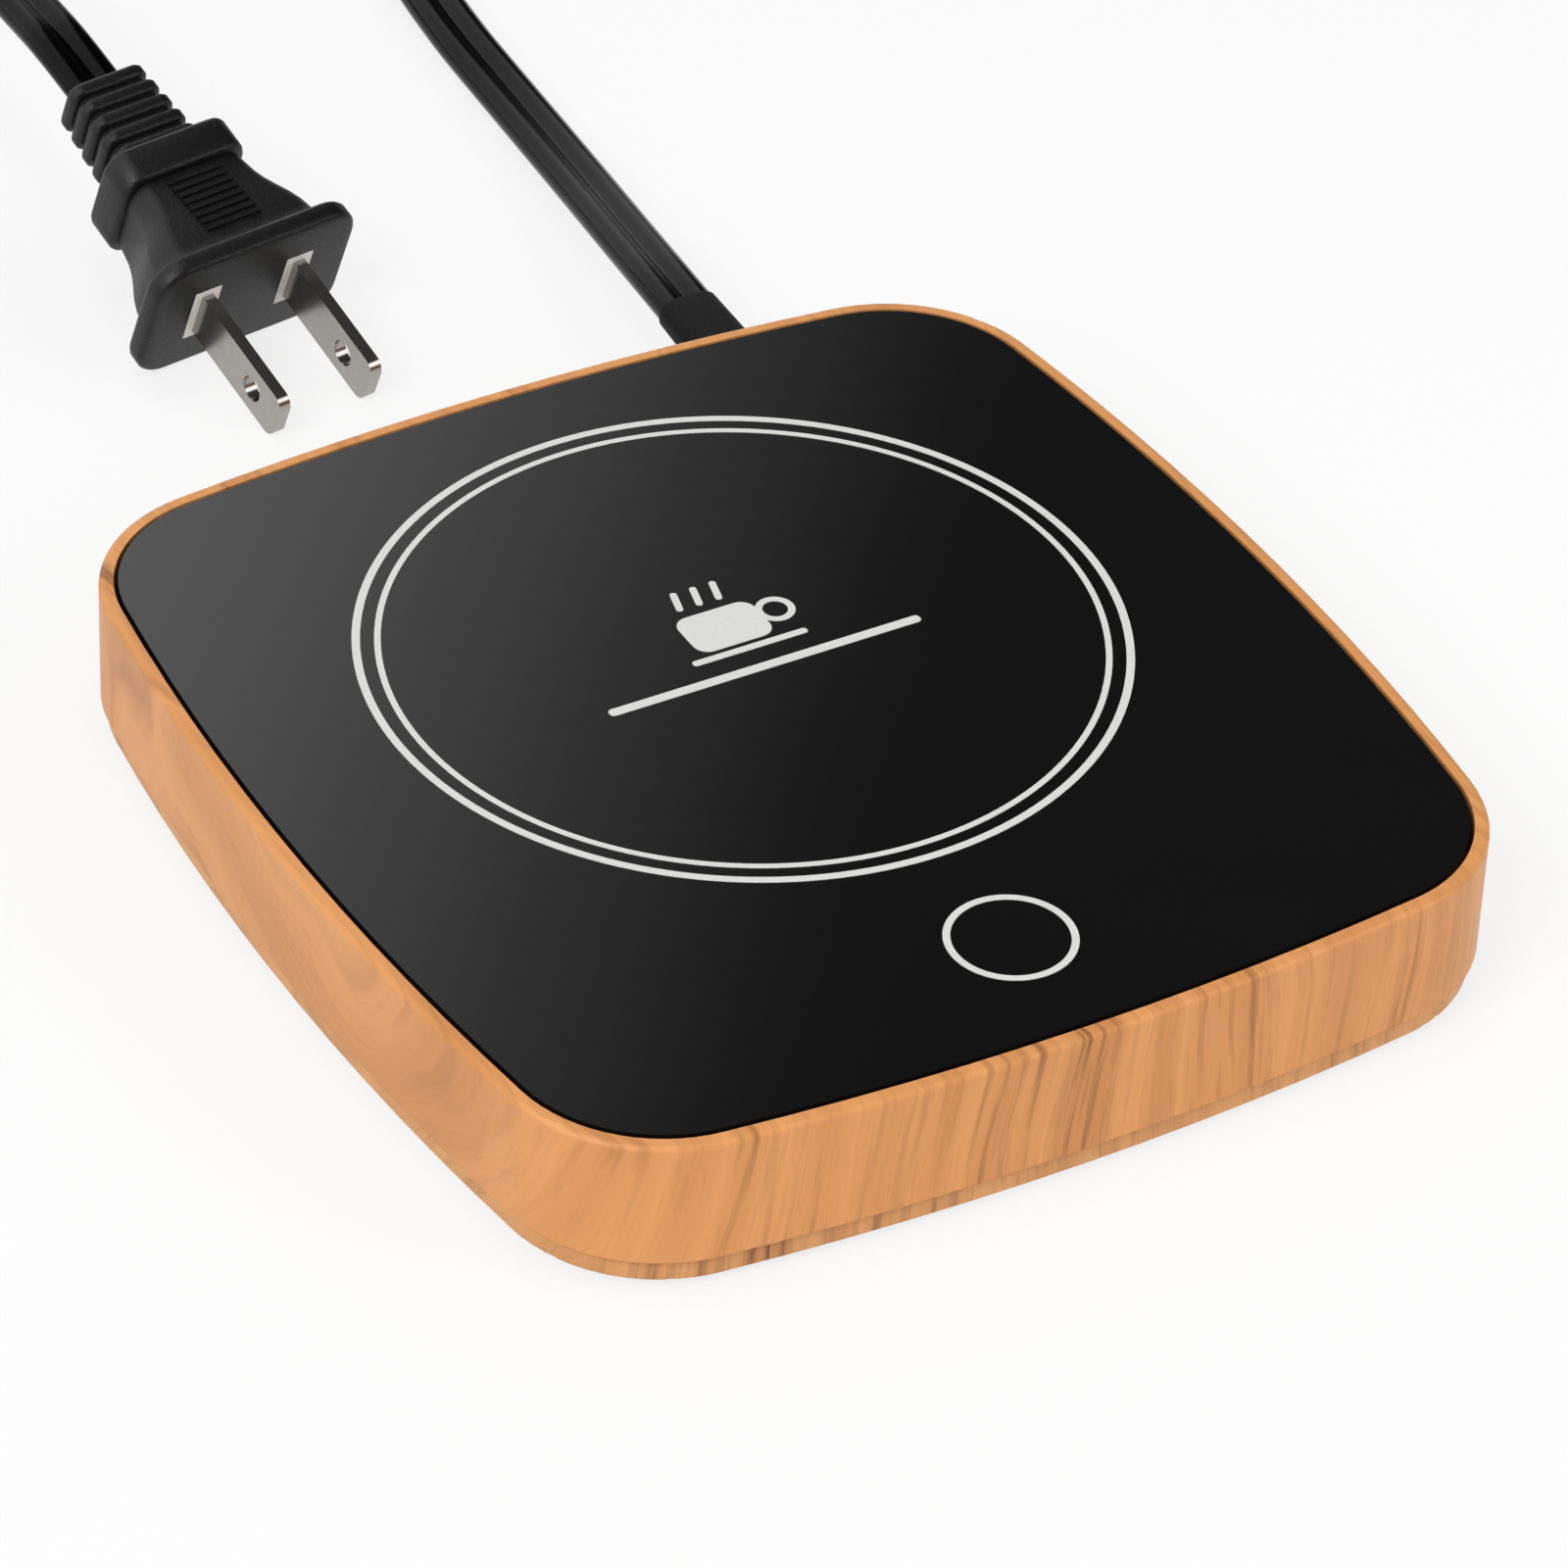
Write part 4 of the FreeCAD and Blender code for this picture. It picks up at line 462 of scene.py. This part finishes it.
# the board and what is soldered to it
SOLDER_MASK = plain("solder_mask", "#1E5A33", 0.25, 0.4, 800.0, 0.08)
BOX_RESIN = plain("capacitor_case_pbt", "#D8A428", 0.35, 0.5)
CAN_SLEEVE = plain("shrink_sleeve", "#1C2238", 0.3, 0.42)
TERMINAL_NYLON = plain("terminal_nylon", "#3B7F4C", 0.45, 0.6)
CHIP_EPOXY = plain("chip_epoxy", "#1D1D1E", 0.6, 0.75, 1800.0, 0.3)
FUSE_GLASS = plain("fuse_tube", "#C6CACB", 0.12, 0.2)
LAMP_RESIN = plain("lamp_resin", "#EFEAD2", 0.25, 0.4)
GUIDE_ACRYLIC = plain("milky_acrylic", "#E7E7E4", 0.3, 0.4)
# the switch's button, and what hangs on the heater
BUTTON_RED = plain("button_acetal", "#B23A2E", 0.4, 0.5)
FUSE_CERAMIC = plain("glazed_steatite", "#E6E1D3", 0.2, 0.35)
SENSOR_RESIN = plain("sensor_epoxy", "#3A2418", 0.3, 0.45)
SILICONE_LEAD = plain("silicone_lead", "#E2E2DE", 0.5, 0.62)

FINISHES = {
    SHELL_WOOD: ["top_housing"],
    TRAY_WOOD: ["base_tray"],
    GLASS: ["glass_plate"],
    FOOT_SILICONE: ["rubber_feet"],
    ZINC_STEEL: ["housing_screws", "guide_pins", "press_plate", "press_plate_screws", "fuse_clip",
                 "board_screws", "cord_clamp_screws"],
    BLACK_NYLON: ["plate_frame", "switch_body", "cord_clamp_bar"],
    MILL_ALUMINIUM: ["heat_spreader"],
    MICA: ["heater_disc"],
    FIBRE_PAPER: ["insulating_sheet"],
    FUSE_CERAMIC: ["thermal_fuse"],
    SENSOR_RESIN: ["temperature_sensor"],
    GUIDE_ACRYLIC: ["key_light_guide"],
    SOLDER_MASK: ["control_board"],
    BOX_RESIN: ["film_capacitor"],
    CAN_SLEEVE: ["smoothing_capacitor"],
    TERMINAL_NYLON: ["terminal_block"],
    CHIP_EPOXY: ["power_triac", "control_chip"],
    FUSE_GLASS: ["board_fuse"],
    LAMP_RESIN: ["key_lamps"],
    BUTTON_RED: ["switch_plunger"],
    SPRING_STEEL: ["return_springs"],
    SILICONE_LEAD: ["heater_leads", "supply_wires"],
    BLADE_NICKEL: ["plug_blades"],
    PLUG_INSERT: ["blade_surrounds"],
}


def dress(piece, material):
    """Gives a piece this one material."""
    piece.data.materials.clear()
    piece.data.materials.append(material)


for finish, names in FINISHES.items():
    for name in names:
        dress(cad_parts[name], finish)
dress(mains_lead, LEAD_PVC)
dress(plug_body, PLUG_PVC)
dress(sleeve, SLEEVE_PVC)


def flexing(node):
    """The node's own form, copied into a piece of its own in the same place, with the part itself hidden."""
    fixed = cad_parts[node]
    piece = bpy.data.objects.new(node + "_flexing", fixed.data.copy())
    bpy.context.scene.collection.objects.link(piece)
    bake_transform(piece)
    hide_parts(node)
    return piece


flexing("return_springs")
flexing("heater_leads")

GLASS_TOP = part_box("glass_plate")[1].z
# how thick the ink is, and in millimetres how far it starts above the glass
INK_THICK, INK_LIFT = 0.06 * MM, 0.01


def printed_ring(name, x, y, outer, inner, steps=160, lift=INK_LIFT):
    """A flat ring of ink with its own slight thickness."""
    bpy.ops.object.select_all(action="DESELECT")
    bpy.ops.mesh.primitive_circle_add(vertices=steps, radius=outer * MM, fill_type="NGON",
                                      location=(x * MM, y * MM, GLASS_TOP + lift * MM))
    ring = bpy.context.object
    ring.name = name
    bpy.ops.object.mode_set(mode="EDIT")
    bpy.ops.mesh.inset(thickness=(outer - inner) * MM, depth=0)
    bpy.ops.mesh.delete(type="FACE")
    bpy.ops.mesh.select_all(action="SELECT")
    bpy.ops.mesh.extrude_region_move(TRANSFORM_OT_translate={"value": (0, 0, INK_THICK)})
    bpy.ops.mesh.select_all(action="SELECT")
    bpy.ops.mesh.normals_make_consistent(inside=False)
    bpy.ops.object.mode_set(mode="OBJECT")
    bpy.ops.object.transform_apply(location=True, rotation=True, scale=True)
    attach(ring, "hot_plate")
    dress(ring, INK)
    return ring


printed_ring("mug_ring_outer", 0.9, 10.2, 41.8, 40.9)
printed_ring("mug_ring_inner", 0.9, 10.2, 39.4, 38.7)
printed_ring("touch_key_ring", 0.1, -46.4, 7.0, 6.2, 96)


def printed_patch(name, x, y, wide, deep, corner, turn=0.0):
    """A flat patch of ink with round corners."""
    patch = rounded_plate(name, wide, deep, corner, 6)
    bpy.ops.mesh.extrude_region_move(TRANSFORM_OT_translate={"value": (0, 0, INK_THICK)})
    place = Matrix.Translation((x * MM, y * MM, GLASS_TOP + INK_LIFT * MM))
    leave_edit(patch, place @ Matrix.Rotation(math.radians(turn), 4, "Z"))
    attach(patch, "hot_plate")
    dress(patch, INK)
    return patch


# a plain picture of a cup with steam over it, and a thin bar below it
printed_patch("cup_picture_bowl", 0.2, 13.2, 9.4, 6.6, 1.7)
printed_ring("cup_picture_handle", 6.7, 13.6, 2.2, 1.4, 48, -0.015)
printed_patch("cup_picture_saucer", 0.9, 8.8, 14.0, 0.9, 0.4)
for number, across in enumerate((-2.2, 0.2, 2.6), 1):
    printed_patch(f"cup_picture_steam_{number}", across, 19.4, 0.8, 3.4, 0.38, -14.0)
printed_patch("printed_bar", 0.8, 5.2, 38.0, 1.2, 0.5)

bpy.ops.object.select_all(action="DESELECT")
bpy.ops.mesh.primitive_plane_add(size=6.0, location=(0, 0, -0.02 * MM))
floor = bpy.context.object
floor.name = "studio_floor"
floor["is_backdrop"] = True


def pale_floor():
    """A white sweep: the eye sees it mostly as plain white, and the object's soft shadow stays on it."""
    material, tree, skin = new_material("white_sweep", Roughness=0.9)
    skin.inputs["Base Color"].default_value = linear("#F0F0F0")
    paths = add(tree, "LightPath").outputs
    seen = {0: paths["Is Camera Ray"], 1: paths["Is Glossy Ray"]}
    seen = add(tree, "Math", seen, operation="MAXIMUM").outputs[0]
    share = add(tree, "Math", {0: seen, 1: 0.8}, operation="MULTIPLY").outputs[0]
    glow = add(tree, "Emission", {"Color": (1, 1, 1, 1), "Strength": 0.98})
    mix = add(tree, "MixShader", {0: share, 1: skin.outputs[0], 2: glow.outputs[0]})
    tree.links.new(mix.outputs[0], tree.nodes["Material Output"].inputs["Surface"])
    return material


dress(floor, pale_floor())

world = bpy.data.worlds.new("studio")
bpy.context.scene.world = world
world.use_nodes = True
sky = world.node_tree
rays = add(sky, "LightPath")
seen = add(sky, "Background", {"Color": (1, 1, 1, 1), "Strength": 0.95})
lit = add(sky, "Background", {"Color": (1, 1, 1, 1), "Strength": 0.42})
# What shiny faces mirror: 1.6 times white on the left, falling off to nearly black on the right.
# It is set for the glass as seen from the photograph's side; from some other sides the glass turns pale.
toward = add(sky, "TexCoord").outputs["Generated"]
aside = add(sky, "VectorMath", {0: toward, 1: (0.853, -0.521, 0.29)}, operation="DOT_PRODUCT").outputs["Value"]
fall_off = {"Value": aside, "From Min": 0.043, "From Max": 0.197, "To Min": 1.6, "To Max": 0.059}
room = add(sky, "MapRange", fall_off, interpolation_type="SMOOTHSTEP").outputs["Result"]
mirrored = add(sky, "Background", {"Color": (1, 1, 1, 1), "Strength": room})
blend = add(sky, "MixShader", {0: rays.outputs["Is Glossy Ray"], 1: lit.outputs[0], 2: mirrored.outputs[0]})
blend = add(sky, "MixShader", {0: rays.outputs["Is Camera Ray"], 1: blend.outputs[0], 2: seen.outputs[0]})
sky.links.new(blend.outputs[0], sky.nodes["World Output"].inputs["Surface"])


def soft_light(name, place, aim, wide, power):
    """A round soft lamp at a place, turned to its aim."""
    lamp = bpy.data.lights.new(name, "AREA")
    lamp.shape = "DISK"
    lamp.size = wide
    lamp.energy = power
    holder = bpy.data.objects.new(name, lamp)
    holder.location = place
    holder.rotation_mode = "QUATERNION"
    holder.rotation_quaternion = (Vector(aim) - Vector(place)).to_track_quat("-Z", "Y")
    bpy.context.scene.collection.objects.link(holder)
    return holder


soft_light("key_softbox", (-0.95, -0.5, 1.05), (0, 0, 0), 0.8, 13.0)
soft_light("fill_softbox", (0.85, -0.8, 0.7), (0, 0, 0), 0.9, 5.8)
soft_light("top_softbox", (-0.1, 0.1, 1.5), (0, 0, 0), 0.8, 3.6)

bpy.context.scene.view_settings.view_transform = "Standard"

low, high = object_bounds()
